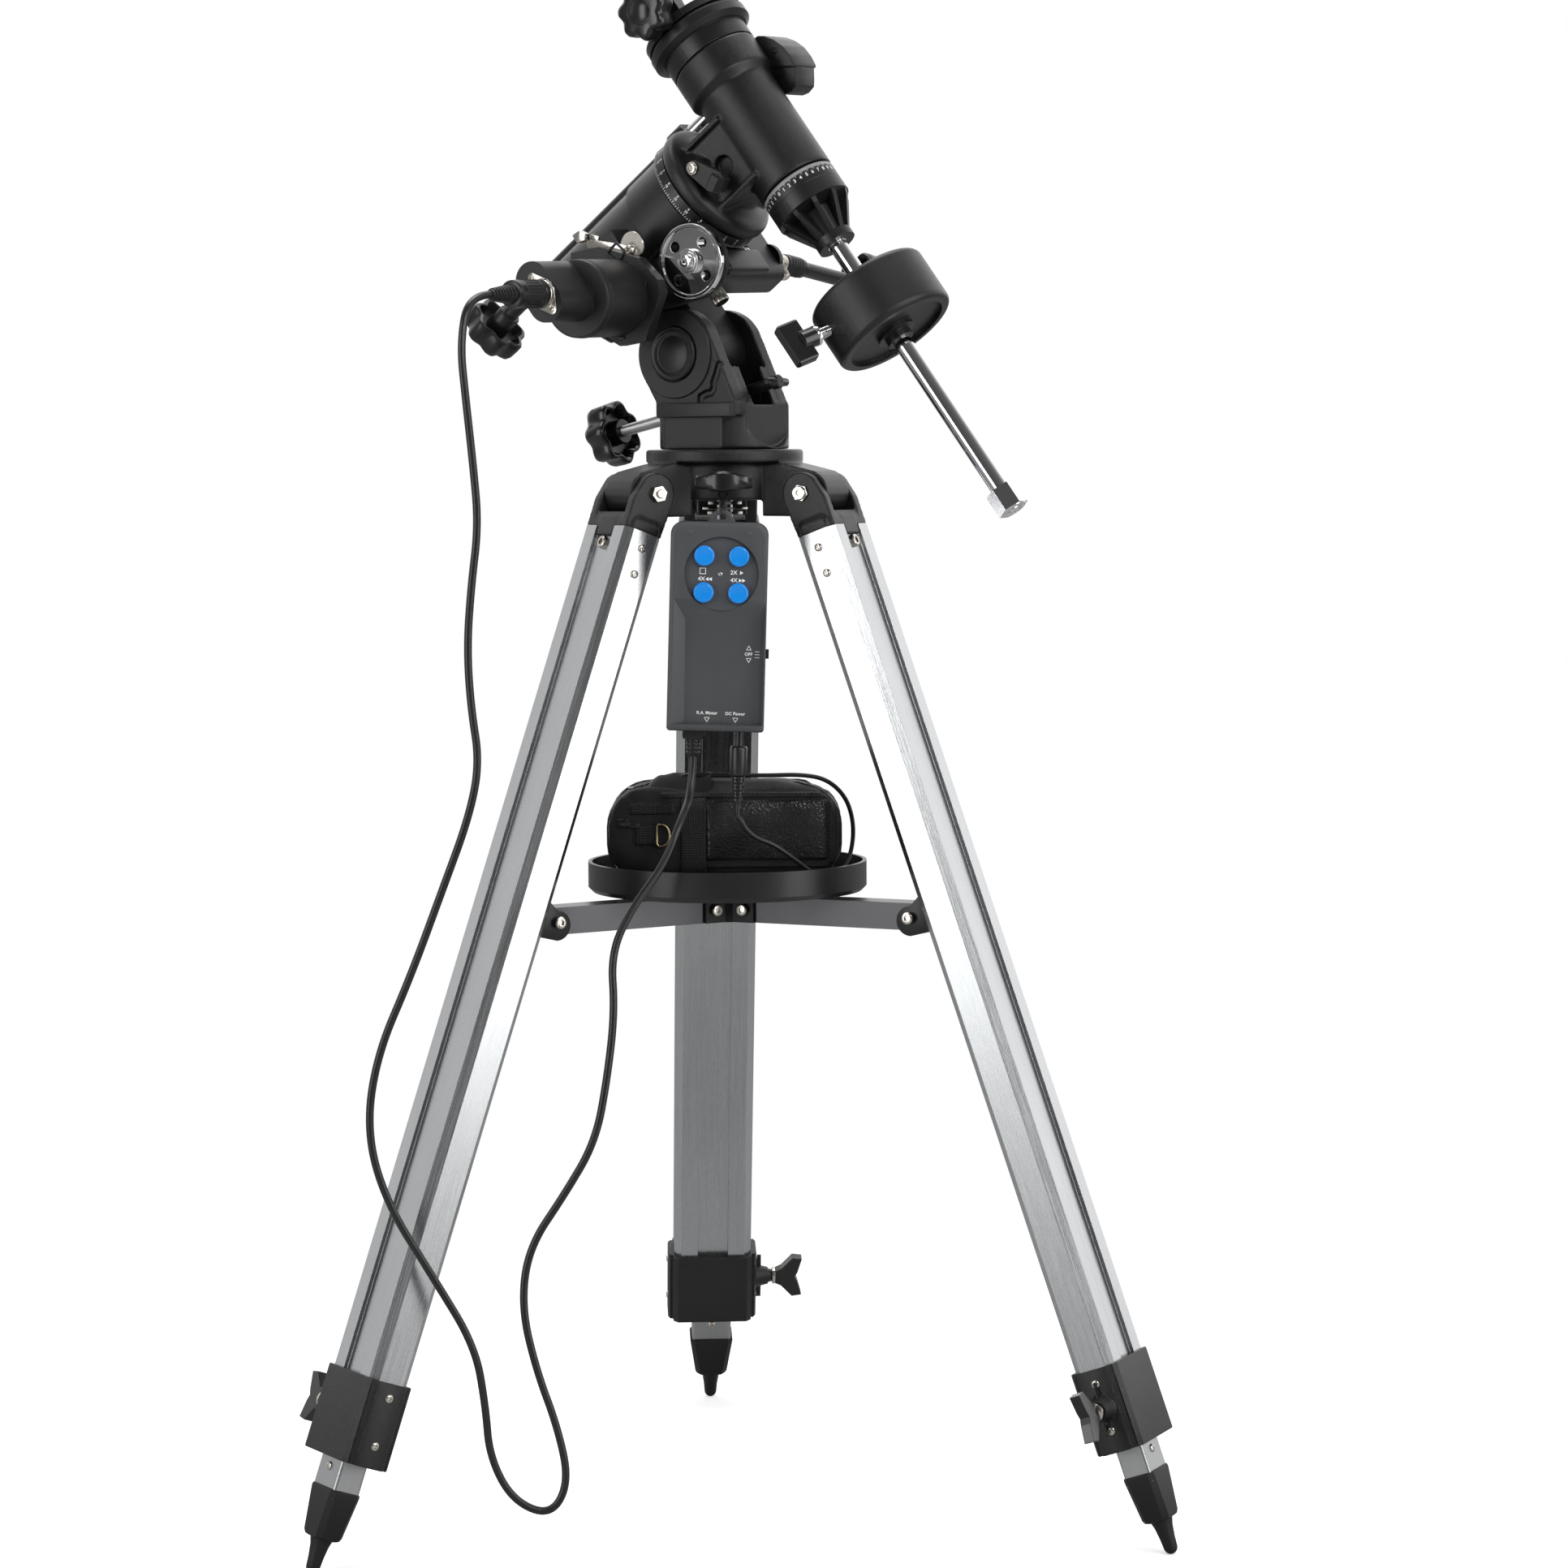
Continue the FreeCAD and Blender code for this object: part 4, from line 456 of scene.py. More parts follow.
# ---------------------------------------------------------------- shapes in a frame of their own, in millimetres
def rings(bm, place, levels, sides=40, ends=(True, True)):
    """A turned shape; each level is a height with a radius, or with a function of the angle that gives one."""
    rows = []
    for z, radius in levels:
        row = []
        for k in range(sides):
            angle = 2 * pi * k / sides
            r = radius(angle) if callable(radius) else radius
            row.append(bm.verts.new(place @ turned(r, angle, z)))
        rows.append(row)
    skin(bm, rows, ends)


def hoop(bm, place, levels, sides):
    """A turned shape without ends."""
    rings(bm, place, levels, sides, (False, False))


def hexagon(half): return lambda angle: half / math.cos(angle % (pi / 3) - pi / 6)


def cross(long, wide):
    def radius(angle):
        off = abs((angle + pi / 4) % (pi / 2) - pi / 4)
        return min(long / max(math.cos(off), 0.01), wide / max(math.sin(off), 0.01))
    return radius


def block(bm, place, x, y, z, bevel=0.5, segments=2):
    """A box with rounded edges, between two values of x, of y and of z."""
    corners = bmesh.ops.create_cube(bm, size=1)["verts"]
    for v in corners:
        v.co = Vector([pair[at > 0] for pair, at in zip((x, y, z), v.co)])
    edges = list(dict.fromkeys(e for v in corners for e in v.link_edges))
    grown = bmesh.ops.bevel(bm, geom=edges, offset=bevel, segments=segments, affect="EDGES", profile=0.5)
    for v in set(grown["verts"]) | {v for v in corners if v.is_valid}:
        v.co = place @ v.co


def prism(bm, place, outline, z0, z1, bevel=0.4, segments=2):
    """An outline of x and y between two heights, with rounded edges."""
    low = [bm.verts.new(Vector((x, y, z0))) for x, y in outline]
    face = bm.faces.new(low)
    top = bmesh.ops.extrude_face_region(bm, geom=[face])["geom"]
    high = [v for v in top if isinstance(v, bmesh.types.BMVert)]
    for v in high:
        v.co.z = z1
    every = low + high
    if bevel:
        edges = list(dict.fromkeys(e for v in every for e in v.link_edges))
        grown = bmesh.ops.bevel(bm, geom=edges, offset=bevel, segments=segments, affect="EDGES", profile=0.5)
        every = {v for v in every if v.is_valid} | set(grown["verts"])
    for v in every:
        v.co = place @ v.co


def arc(x, y, radius, start, end, steps=10):
    """Points on a circle round x, y, between two angles in degrees."""
    return [(x + radius * math.cos(math.radians(start + (end - start) * k / steps)),
             y + radius * math.sin(math.radians(start + (end - start) * k / steps))) for k in range(steps + 1)]


def facing(place, x, y, z, axis="Z"):
    """A frame at that point whose Z runs along the chosen axis of the given frame."""
    turn = {"Z": Matrix(), "X": spin("Y", 90), "-X": spin("Y", -90), "Y": spin("X", -90), "-Y": spin("X", 90),
            "-Z": spin("X", 180)}[axis]
    return place @ shift(x, y, z) @ turn


def socket_screw(bm, place, radius=3.2, tall=2.2, socket=1.6):
    rings(bm, place, [(0, radius), (tall * 0.7, radius), (tall * 0.92, radius * 0.93), (tall, radius * 0.82),
                      (tall, hexagon(socket)), (tall * 0.35, hexagon(socket))], 48)


def cross_screw(bm, place, radius=3.0, tall=1.5):
    rings(bm, place, [(0, radius), (tall * 0.45, radius * 0.98), (tall * 0.8, radius * 0.84), (tall, radius * 0.64),
                      (tall, cross(radius * 0.56, radius * 0.15)),
                      (tall * 0.3, cross(radius * 0.42, radius * 0.12))], 64)


def made(name, look, body, build, smooth=35):
    """One piece: what the function builds, in that look and on that body."""
    bm = bmesh.new()
    build(bm)
    return link(name, finish_mesh(bm, name, smooth), MATERIALS[look], body)


LETTERS = {}


def letters(text, size):
    """The flat mesh of a short text, centred, as vertices and faces in millimetres."""
    if (text, size) not in LETTERS:
        curve = bpy.data.curves.new("letters", "FONT")
        curve.body, curve.size, curve.align_x, curve.align_y = text, size, "CENTER", "CENTER"
        curve.resolution_u, curve.offset = 3, size * 0.016
        holder = placed("letters", curve)
        mesh = evaluated(holder)
        LETTERS[text, size] = ([v.co.copy() for v in mesh.vertices], [tuple(p.vertices) for p in mesh.polygons])
        bpy.data.objects.remove(holder)
        bpy.data.meshes.remove(mesh)
    return LETTERS[text, size]


def write(bm, text, size, put):
    """Letters whose flat points are carried to their place by put(x, y)."""
    points, faces = letters(text, size)
    verts = [bm.verts.new(put(p.x, p.y)) for p in points]
    for f in faces:
        bm.faces.new([verts[i] for i in f])


def mark(bm, put, x0, x1, y0, y1):
    bm.faces.new([bm.verts.new(put(x, y)) for x, y in ((x0, y0), (x1, y0), (x1, y1), (x0, y1))])


MATERIALS["white_paint"] = material("white_marking", (0.80, 0.80, 0.78), 0.55, mottle=0.08, bevel=0)


# ---------------------------------------------------------------- setting circles
def polar_scale(bm):
    edge, lift = -62, 0.06              # the height where the ring's chamfer starts

    def on(angle, height):
        def put(x, y):
            z = height + y
            r = 42 + lift - 0.6 * max(0, z - edge) / 7.6 if z > edge else 42 + lift - (edge - z) * 0.9
            a = math.radians(angle) + x / 42
            return POLAR @ turned(r, a, z)
        return put
    for k in range(144):
        put = on(82 - k * 2.5, 0)
        tall = 2.2 if k % 6 == 0 else 1.8 if k % 3 == 0 else 1.3
        mark(bm, put, -0.16, 0.16, edge + 0.1, edge + 0.1 + tall)
    for hour in range(24):
        angle = 82 - hour * 15
        write(bm, str(hour if hour <= 12 else 24 - hour), 2.6, on(angle, -55.9))
        write(bm, str((24 - hour) % 24), 2.4, on(angle, -58.3))


def declination_scale(bm):
    def on(angle):
        def put(x, y):
            z = 46.6 - y
            r = 25.76
            a = math.radians(angle) - x / r
            return DECLINATION @ turned(r, a, z)
        return put
    for k in range(180):
        tall = 3.4 if k % 5 == 0 else 2.2
        mark(bm, on(k * 2), -0.13, 0.13, 5.1 - tall, 5.1)
    for k in range(36):
        value = k % 18
        write(bm, str(value if value <= 9 else 18 - value), 3.4, on(k * 10 + 4))


made("polar_scale", "white_paint", "polar_dial", polar_scale, 0)
made("declination_scale", "white_paint", "declination_dial", declination_scale, 0)


# ---------------------------------------------------------------- low-voltage plug under the controller
def power_plug(bm):
    axis = HAND @ shift(POWER_SOCKET, 0, 0)
    levels = [(-131.6, 2.2), (-131.6, 2.7), (-143.8, 2.7), (-143.8, 4.6), (-144.4, 5.3), (-145.2, 5.6), (-161.4, 5.45),
              (-162.6, 5.1), (-163.0, 4.3)]
    for k in range(7):
        z, r = -163.4 - k * 2.35, 4.45 - k * 0.2
        levels += [(z, r - 0.75), (z - 0.25, r), (z - 1.45, r), (z - 1.7, r - 0.75)]
    levels += [(-179.8, 2.6), (-181.0, 2.1)]
    rings(bm, axis, levels, 36)
    for k in range(6):
        a = 2 * pi * k / 6
        for z in (-166, -170.7, -175.4):
            r = 4.0 + (z + 163) * 0.085
            block(bm, axis @ shift(*turned(r, a, z)) @ spin("Z", math.degrees(a)),
                  (-0.5, 0.35), (-0.5, 0.5), (-1.2, 1.2), 0.15, 1)


plug_piece = made("power_plug_body", "cable_black", "hub", power_plug)
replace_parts(plug_piece, "power_plug")
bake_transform(power_cable)
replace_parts(power_cable, "power_cable")


# ---------------------------------------------------------------- drive train
def thread(bm, place, radius, start, end, pitch=1.25):
    levels, z, deep = [], start, 0.28
    while z < end:
        levels += [(z, radius - deep), (z + pitch * 0.42, radius), (z + pitch * 0.58, radius)]
        z += pitch
    rings(bm, place, levels + [(end, radius - deep)], 28)


def knurl(bm, place, radius, start, end, teeth=30, deep=0.3):
    def ridge(angle): return radius - deep * (0.5 + 0.5 * math.cos(angle * teeth))
    rings(bm, place, [(start, radius - 1.2), (start + 0.01, radius - 0.8), (start + 0.6, ridge), (end - 0.6, ridge),
                      (end, radius - 0.8), (end, 1.5), (end - 0.3, 0.1)], teeth * 4)


# the axes of the worm and of the motor, as y and z in the polar frame
WORM, MOTOR = Vector((45, -72)), Vector((36, -121.2))


def pulley_face(bm):
    hub = facing(POLAR, 46, *WORM, "X")
    hoop(bm, hub, [(0.0, 24.0), (0.35, 23.6), (0.35, 21.9), (0.0, 21.4)], 96)
    hoop(bm, hub, [(1.9, 7.9), (2.3, 7.6), (2.3, 5.6), (1.9, 5.4)], 48)
    hoop(bm, hub, [(2.0, 6.3), (2.9, 6.1), (2.9, 5.1)], 48)
    socket_screw(bm, hub @ shift(0, 0, 3.4), 4.2, 2.4, 1.9)


def belt_ribs(bm):
    """Fine ribs across the belt, along its outer side."""
    big, small = 24.45, 11.7
    far = MOTOR - WORM
    along = math.atan2(far.y, far.x)
    lean = math.acos((big - small) / far.length)
    line = []
    for centre, radius, a0, a1 in ((Vector((0, 0)), big, along + lean, along + 2 * pi - lean),
                                   (far, small, along - lean, along + lean)):
        steps = 120
        line += [centre + Vector((math.cos(a), math.sin(a))) * radius
                 for a in (a0 + (a1 - a0) * k / steps for k in range(steps + 1))]
    line.append(line[0])
    pitch, walked, at = 0.85, 0.0, 0.0
    for a, b in zip(line, line[1:]):
        step = (b - a).length
        while at <= walked + step:
            p = a + (b - a) * ((at - walked) / step)
            t = (b - a).normalized()
            out = Vector((t.y, -t.x))
            corners = []
            for u, v in ((-0.22, -0.1), (0.22, -0.1), (0.14, 0.32), (-0.14, 0.32)):
                q = WORM + p + t * u + out * v
                corners.append([bm.verts.new(POLAR @ Vector((x, *q))) for x in (37.4, 41.6)])
            for k in range(4):
                bm.faces.new((corners[k][0], corners[(k + 1) % 4][0], corners[(k + 1) % 4][1], corners[k][1]))
            bm.faces.new([c[0] for c in corners][::-1])
            bm.faces.new([c[1] for c in corners])
            at += pitch
        walked += step


def pocket(bm, place, corners):
    """A raised line round a pocket in the gearbox plate."""
    height, wide = 1.6, 0.7
    points = [Vector(c) for c in corners]
    closed = points + points[:1]
    for a, b in zip(closed, closed[1:]):
        side = (b - a).normalized()
        out = Vector((side.y, -side.x)) * wide
        prism(bm, place, [tuple(a - out), tuple(b - out), tuple(b + out), tuple(a + out)], -0.2, height, 0.25)


def motor_trim(bm):
    face = facing(POLAR, 66, 0, 0, "X")
    # in this frame x is -z of the polar frame and y is its y
    pocket(bm, face, [(101.6, 28.8), (95.8, 43.5), (110.5, 51.0)])
    pocket(bm, face, [(108.4, 9.5), (104.9, 20.0), (96.5, 17.0), (98.5, 9.0)])
    pocket(bm, face, [(131.5, 60.5), (141.5, 56.0), (146.0, 47.0), (139.0, 53.5)])
    can = facing(POLAR, 0, *MOTOR, "X")
    hoop(bm, can, [(103.4, 25.0), (103.6, 25.32), (104.6, 25.32), (104.8, 25.0)], 72)
    hoop(bm, can, [(105.6, 25.0), (105.8, 25.2), (106.4, 25.2), (106.6, 25.0)], 72)
    rings(bm, facing(POLAR, 66, 42.8, -102.2, "X"), [(0, 2.1), (0.5, 2.0), (0.5, 1.3), (0.1, 1.1)], 24)


def socket_flange(bm):
    """The metal shell of the round connector: a rounded diamond with a screw at each end."""
    y, z = SOCKET
    plate = (arc(-z, y + 12.6, 3.2, 20, 160, 8) + arc(-z, y, 9.9, 160, 200, 6)
             + arc(-z, y - 12.6, 3.2, 200, 340, 8) + arc(-z, y, 9.9, 340, 380, 6))
    prism(bm, facing(POLAR, 145, 0, 0, "X"), plate, -0.2, 1.0, 0.3)
    collar = facing(POLAR, 145, y, z, "X")
    hoop(bm, collar, [(0.8, 9.6), (3.2, 9.4), (3.6, 9.2), (3.6, 8.85)], 48)
    for side in (-12.4, 12.4):
        cross_screw(bm, facing(POLAR, 145.9, y + side, z, "X"), 1.7, 1.0)


def plug_trim(bm):
    """Grip rings and relief ribs of the round plug."""
    axis = facing(POLAR, 0, *SOCKET, "X")
    for k in range(7):
        z = 181 + k * 2.6
        r = 6.0 - 2.8 * (z - 178) / 22
        hoop(bm, axis, [(z, r), (z + 0.25, r + 0.55), (z + 1.2, r + 0.5), (z + 1.45, r)], 28)
    hoop(bm, axis, [(148, 8.8), (148.4, 9.15), (152.0, 9.15), (152.4, 8.8)], 40)
    hoop(bm, axis, [(172, 8.8), (172.6, 9.05), (177.2, 8.9), (178.2, 8.0), (178.6, 6.2)], 40)
    for k in range(24):
        a = 2 * pi * k / 24
        spot = facing(POLAR, 0, SOCKET[0] + 8.75 * math.cos(a), SOCKET[1] + 8.75 * math.sin(a), "X")
        block(bm, spot, (-0.35, 0.35), (-0.35, 0.35), (156, 169), 0.15, 1)


made("pulley_face", "chrome", "worm", pulley_face)
made("belt_ribs", "plastic_black", "polar", belt_ribs, 0)
made("motor_trim", "motor_black", "polar", motor_trim)
made("plug_trim", "cable_black", "polar", plug_trim)
made("socket_flange", "nickel", "polar", socket_flange)


def control_trim(bm):
    hoop(bm, CONTROL, [(0.9, 6.5), (1.0, 8.4), (2.8, 8.4), (3.1, 8.0), (3.1, 5.7)], 48)
    hoop(bm, CONTROL, [(3.1, 5.7), (6.0, 5.65), (6.2, 5.9), (11.6, 5.9), (12.0, 5.6)], 40)
    knurl(bm, facing(CONTROL, 0, 0, 7, "Y"), 3.4, 6.5, 13.5, 22, 0.35)
    rings(bm, facing(CONTROL, 0, 0, 7, "Y"), [(5.4, 2.0), (6.6, 2.0)], 20)


def control_sleeve(bm):
    """Grip rings moulded on the sleeve of the flexible control."""
    for k in range(5):
        z = 15 + k * 2.6
        hoop(bm, CONTROL, [(z, 6.5), (z + 0.3, 6.9), (z + 1.4, 6.9), (z + 1.7, 6.5)], 32)
    hoop(bm, CONTROL, [(29, 6.5), (30.5, 6.3), (33, 5.05)], 32)


def clutch_knurl(bm):
    under = facing(POLAR, 28, 62, -78, "Y")
    knurl(bm, under, 5.35, 1.6, 12.2, 34, 0.4)
    rings(bm, under, [(0.0, 3.6), (0.1, 3.6), (1.5, 3.4)], 24)


made("control_trim", "nickel", "polar_control", control_trim)
made("control_sleeve", "plastic_black", "polar_control", control_sleeve)
made("clutch_knurl", "nickel", "clutch_screw", clutch_knurl)


def lever_screw(bm):
    place = facing(POLAR @ shift(31.1, -3, -37) @ spin("X", 23.6), 8.6, 0, 0, "X")
    hoop(bm, place, [(-0.4, 4.2), (0.0, 4.1), (0.0, 3.5)], 32)
    socket_screw(bm, place, 3.5, 1.3, 1.7)


made("lever_screw", "nickel", "clutch_lever", lever_screw)


# ---------------------------------------------------------------- knobs and screws
def latitude_thread(bm):
    thread(bm, facing(LATITUDE, 0, 0, 0, "Y"), 3.85, -44.5, -1.5)


def weight_thread(bm):
    axis = facing(DECLINATION @ spin("Z", 31), 0, 0, 141, "X")
    thread(bm, axis, 3.75, 38.5, 50.5, 1.25)
    rings(bm, axis, [(50.2, 6.0), (50.6, 6.7), (52.4, 6.7), (52.8, 6.5)], 36)


def toe_screw(bm):
    toe = facing(DECLINATION, 0, 0, 300.5, "Z")
    hoop(bm, toe, [(-0.2, 9.0), (0.5, 8.6), (0.5, 5.2), (0.2, 5.0)], 48)
    cross_screw(bm, toe, 4.6, 1.9)
    for k in range(2):
        hole = toe @ spin("Z", 40 + 180 * k) @ shift(6.9, 0, 0.45)
        rings(bm, hole, [(0, 1.1), (0.15, 1.0), (0.15, 0.7), (-0.4, 0.6)], 16)


made("latitude_thread", "steel", "latitude_screw", latitude_thread)
made("weight_thread", "chrome", "weight_screw", weight_thread)
made("toe_screw", "chrome", "declination_shaft", toe_screw)


# ---------------------------------------------------------------- tripod fittings
def leg_fittings(i):
    place = LEGS[i]

    def build(bm):
        for side in (-1, 1):
            look = "X" if side > 0 else "-X"
            for y, z in ((1.5, -37.6), (1.5, -55.0)):
                cross_screw(bm, facing(place, side * 28, y, z, look), 2.7, 1.3)
            for z in (-598.3, -629.0):
                cross_screw(bm, facing(place, side * 32, 2.8, z, look), 2.8, 1.3)
            socket_screw(bm, facing(place, side * 17.4, -26, -281, look), 4.0, 2.2, 1.9)
        socket_screw(bm, facing(place, 0, 11.7, -38, "Y"), 4.2, 4.6, 2.0)
        socket_screw(bm, facing(place, 0, -7.7, -38, "-Y"), 4.2, 4.6, 2.0)
    made(f"leg_fittings_{i}", "nickel", f"leg_{i}", build)

    def tube_screws(bm):
        cross_screw(bm, facing(place, 0, 11.5, -649.5, "Y"), 2.7, 1.2)
        cross_screw(bm, facing(place, 0, -7.5, -649.5, "-Y"), 2.7, 1.2)
    made(f"tube_screws_{i}", "nickel", f"extension_{i}", tube_screws)

    def lock_thread(bm):
        axis = facing(place, 0, 2, -614, "X")
        thread(bm, axis, 3.35, 36.2, 44.5, 1.1)
        rings(bm, axis, [(44.2, 5.0), (44.6, 6.2), (46.5, 6.2), (47, 5.4)], 32)
    made(f"lock_thread_{i}", "nickel", f"lock_{i}", lock_thread)


for i in (1, 2, 3):
    leg_fittings(i)


def arm_ends(bm):
    for turn in (90, 210, 330):
        place = WORLD @ spin("Z", turn - 90)
        for side in (-1, 1):
            socket_screw(bm, facing(place, side * 14.4, 18, 400.5, "X" if side > 0 else "-X"), 3.8, 2.0, 1.7)


made("arm_ends", "nickel", "tray", arm_ends)


def washers(bm):
    rings(bm, WORLD, [(662.6, 11.2), (662.8, 14.8), (664.2, 14.8), (664.4, 5.6)], 56)
    rings(bm, WORLD, [(659.4, 8.0), (659.6, 11.5), (661.4, 11.5), (661.6, 5.6)], 56)


made("washers", "nickel", "center_bolt", washers)


# ---------------------------------------------------------------- castings
def octagon(x, y, corner):
    return [(x, y - corner), (x - corner, y), (-x + corner, y), (-x, y - corner),
            (-x, -y + corner), (-x + corner, -y), (x - corner, -y), (x, -y + corner)]


def loft(bm, place, sections):
    """A closed skin through outlines of equally many points, each given with its height."""
    skin(bm, [[bm.verts.new(place @ Vector((x, y, z))) for x, y in outline] for z, outline in sections])


def lathe(bm, place, profile, sides=72):
    """A ring: a closed outline of radius and height, turned about Z."""
    rows = []
    for k in range(sides):
        angle = 2 * pi * k / sides
        rows.append([bm.verts.new(place @ turned(r, angle, z)) for r, z in profile])
    for k in range(sides):
        a, b = rows[k], rows[(k + 1) % sides]
        for j in range(len(profile)):
            i = (j + 1) % len(profile)
            bm.faces.new((a[j], b[j], b[i], a[i]))


def slab(bm, place, outline, x0, x1, bevel=0.0):
    """An outline of y and z, given a thickness along x."""
    upright = place @ Matrix(((0, 0, 1, 0), (1, 0, 0, 0), (0, 1, 0, 0), (0, 0, 0, 1)))
    prism(bm, upright, outline, x0, x1, bevel)


def modify(obj, kind, **settings):
    """A new modifier on the object."""
    modifier = obj.modifiers.new(kind.lower(), kind)
    for key, value in settings.items():
        setattr(modifier, key, value)


def shape(name, build):
    """An object with the closed shapes that the function builds."""
    bm = bmesh.new()
    build(bm)
    return placed(name, solid(bm, name))


def cut_out(obj, cuts):
    """Cut shapes out of an object; their own object is given back, to be removed later."""
    tool = shape(obj.name + "_cut", cuts)
    modify(obj, "BOOLEAN", operation="DIFFERENCE", solver="EXACT", object=tool, use_self=True)
    return tool


def worked(name, look, body, holder, tool, smooth):
    """The piece that comes out of the holder's modifiers."""
    done = evaluated(holder)
    done.name = name
    for obj in filter(None, (holder, tool)):
        bpy.data.objects.remove(obj)
    return link(name, shaded(done, smooth), MATERIALS[look], body)


def cast(name, look, body, build, cuts, nodes, voxel=0.8):
    """One casting: overlapping closed shapes become one skin, are cut, and get softened edges."""
    holder, tool = shape(name, build), None
    modify(holder, "REMESH", mode="VOXEL", voxel_size=voxel * 0.001)
    if cuts:
        tool = cut_out(holder, cuts)
        modify(holder, "REMESH", mode="VOXEL", voxel_size=voxel * 0.001)
    modify(holder, "SMOOTH", factor=0.5, iterations=3)
    modify(holder, "DECIMATE", ratio=0.45)
    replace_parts(worked(name, look, body, holder, tool, 40), *nodes)


def hub_casting(bm):
    lathe(bm, WORLD, [(34.5, 669), (39.2, 669), (40, 669.8), (40, 692.4), (50.6, 693.2), (51.5, 694.2), (51.5, 700.8),
                      (50.4, 701.9), (5.5, 701.9), (5.5, 691), (34.5, 691)])
    for turn in (90, 210, 330):
        place = WORLD @ spin("Z", turn - 90)
        slab(bm, place, [(35.5, 658.6)] + arc(67.4, 673.5, 15.2, -90, 84) + [(52, 692.6), (35.5, 694)], -16.5, 16.5)


def leg_casting(i):
    place = LEGS[i]

    def yoke(bm):
        for x0, x1 in ((17.1, 24.6), (-24.6, -17.1)):
            slab(bm, place, [(-11.8, -27), (-13.2, -8)] + arc(0, 0, 13.4, 186, 30) + [(15.6, -8), (15.6, -27)], x0, x1)
        loft(bm, place @ shift(0, 2, 0), [(-27.3, octagon(27.4, 13.7, 4.4)), (-21, octagon(27.0, 13.4, 4.6)),
                                          (-16.6, octagon(24.8, 12.4, 5.5))])
        for y0, y1 in ((13.4, 15.7), (-11.7, -9.4)):
            block(bm, place, (-10.4, 10.4), (y0, y1), (-33.5, -20), 0.6)

    def yoke_cut(bm):
        block(bm, place, (-17.0, 17.0), (-40, 40), (-16.2, 40), 0.01, 1)
        rings(bm, facing(place, -40, 0, 0, "X"), [(0, 3.9), (80, 3.9)], 32)
    cast(f"leg_yoke_{i}", "tripod_black", f"leg_{i}", yoke, yoke_cut, (f"leg_castings_{i}",))

    def collar(bm):
        base = place @ shift(0, 2, 0)
        # the corners are two narrow chamfers with a groove between them
        corner = [(32.2, 8.2), (30.9, 10.6), (29.6, 10.4), (28.0, 13.2), (28.4, 14.4), (25.2, 16.6)]
        quarter = corner + [(-x, y) for x, y in reversed(corner)]
        outline = quarter + [(-x, -y) for x, y in quarter]
        sections = [(-643.2, 0.985), (-642.4, 1.0), (-590, 1.0), (-589, 0.99)]
        loft(bm, base, [(z, [(x * s, y * s) for x, y in outline]) for z, s in sections])
        rings(bm, facing(base, 31, 0, -614, "X"), [(0, 9.6), (4.5, 7.6), (9.5, 6.4), (10.3, 6.2), (10.3, 3.1)], 32)
        for side in (-1, 1):
            slab(bm, base @ shift(0, 0, -614), [(-1.1, 0), (0, side * 18), (1.1, 0)], 31, 33.2, 0.0)
            slab(bm, base @ shift(0, 0, -614), [(-1.1, 0), (side * 1.2, side * 17), (1.1, 0)], 31.8, 36.2, 0.0)
    made(f"leg_collar_{i}", "tripod_black", f"leg_{i}", collar, 30)

    def bracket(bm):
        foot = -12
        block(bm, place, (-15.4, 15.4), (foot - 2.4, foot + 0.1), (-295, -266), 0.6)
        for x0, x1 in ((12.3, 15.2), (-15.2, -12.3)):
            ear = [(foot - 1, 12.4)] + arc(-26.4, -2.2, 9.8, 72, 250) + [(foot - 1, -13.2)]
            slab(bm, place @ shift(0, 0, -281), ear, x0, x1, 0.5)
        rings(bm, facing(place, -15.5, -26, -281, "X"), [(0, 2.4), (31, 2.4)], 24)
    made(f"leg_bracket_{i}", "satin_black", f"leg_{i}", bracket, 35)


def boots(i):
    place = LEGS[i] @ shift(0, 2, 0)

    def build(bm):
        loft(bm, place, [(z, octagon(*size)) for z, *size in (
            (-694.6, 8.2, 6.8, 2.4), (-693.8, 10.4, 8.6, 3.2), (-691.5, 11.6, 9.5, 3.4),
            (-664.4, 15.6, 10.9, 3.3), (-662.6, 15.4, 10.7, 3.2), (-662.2, 14.6, 9.9, 2.8))])
        tip = [(-712.66 - 4.45 * math.sin(a), 4.45 * math.cos(a)) for a in (1.5, 1.2, 0.9, 0.6, 0.3, 0.05)]
        rings(bm, place, tip + [(-706, 5.0), (-699, 6.0), (-693.6, 7.6)], 32)
    obj = made(f"leg_boot_{i}", "rubber_black", f"extension_{i}", build, 30)
    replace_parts(obj, f"leg_foot_{i}")


cast("hub_casting", "tripod_black", "hub", hub_casting, None, ("tripod_hub",), 0.9)
for i in (1, 2, 3):
    leg_casting(i)
    boots(i)


# the slot in the near cheek of the mount's foot, as y and height in the azimuth frame
SLOT = [(20.7, 756.5), (18.5, 749.8), (16.2, 745.1), (16.6, 741.6), (14.4, 738.4), (9.4, 737.6), (6.1, 735.9),
        (6.0, 731)]


def foot_casting(bm):
    rings(bm, AZIMUTH, [(702.1, 41.6), (703.0, 42.3), (731.4, 42.3), (732.1, 41.6)], 96)
    cheek = [(-30, 724), (34, 724), (34, 733)] + arc(*AXLE, 30, 31, 209, 30) + [(-30, 733)]
    slab(bm, AZIMUTH, cheek, 24.2, 35.2)
    slab(bm, AZIMUTH, cheek, -24, -15)
    slab(bm, AZIMUTH, [(24, 726), (34.4, 726), (34.4, 731.5), (11.9, 779.4), (5.5, 775.5)], -20, 28)


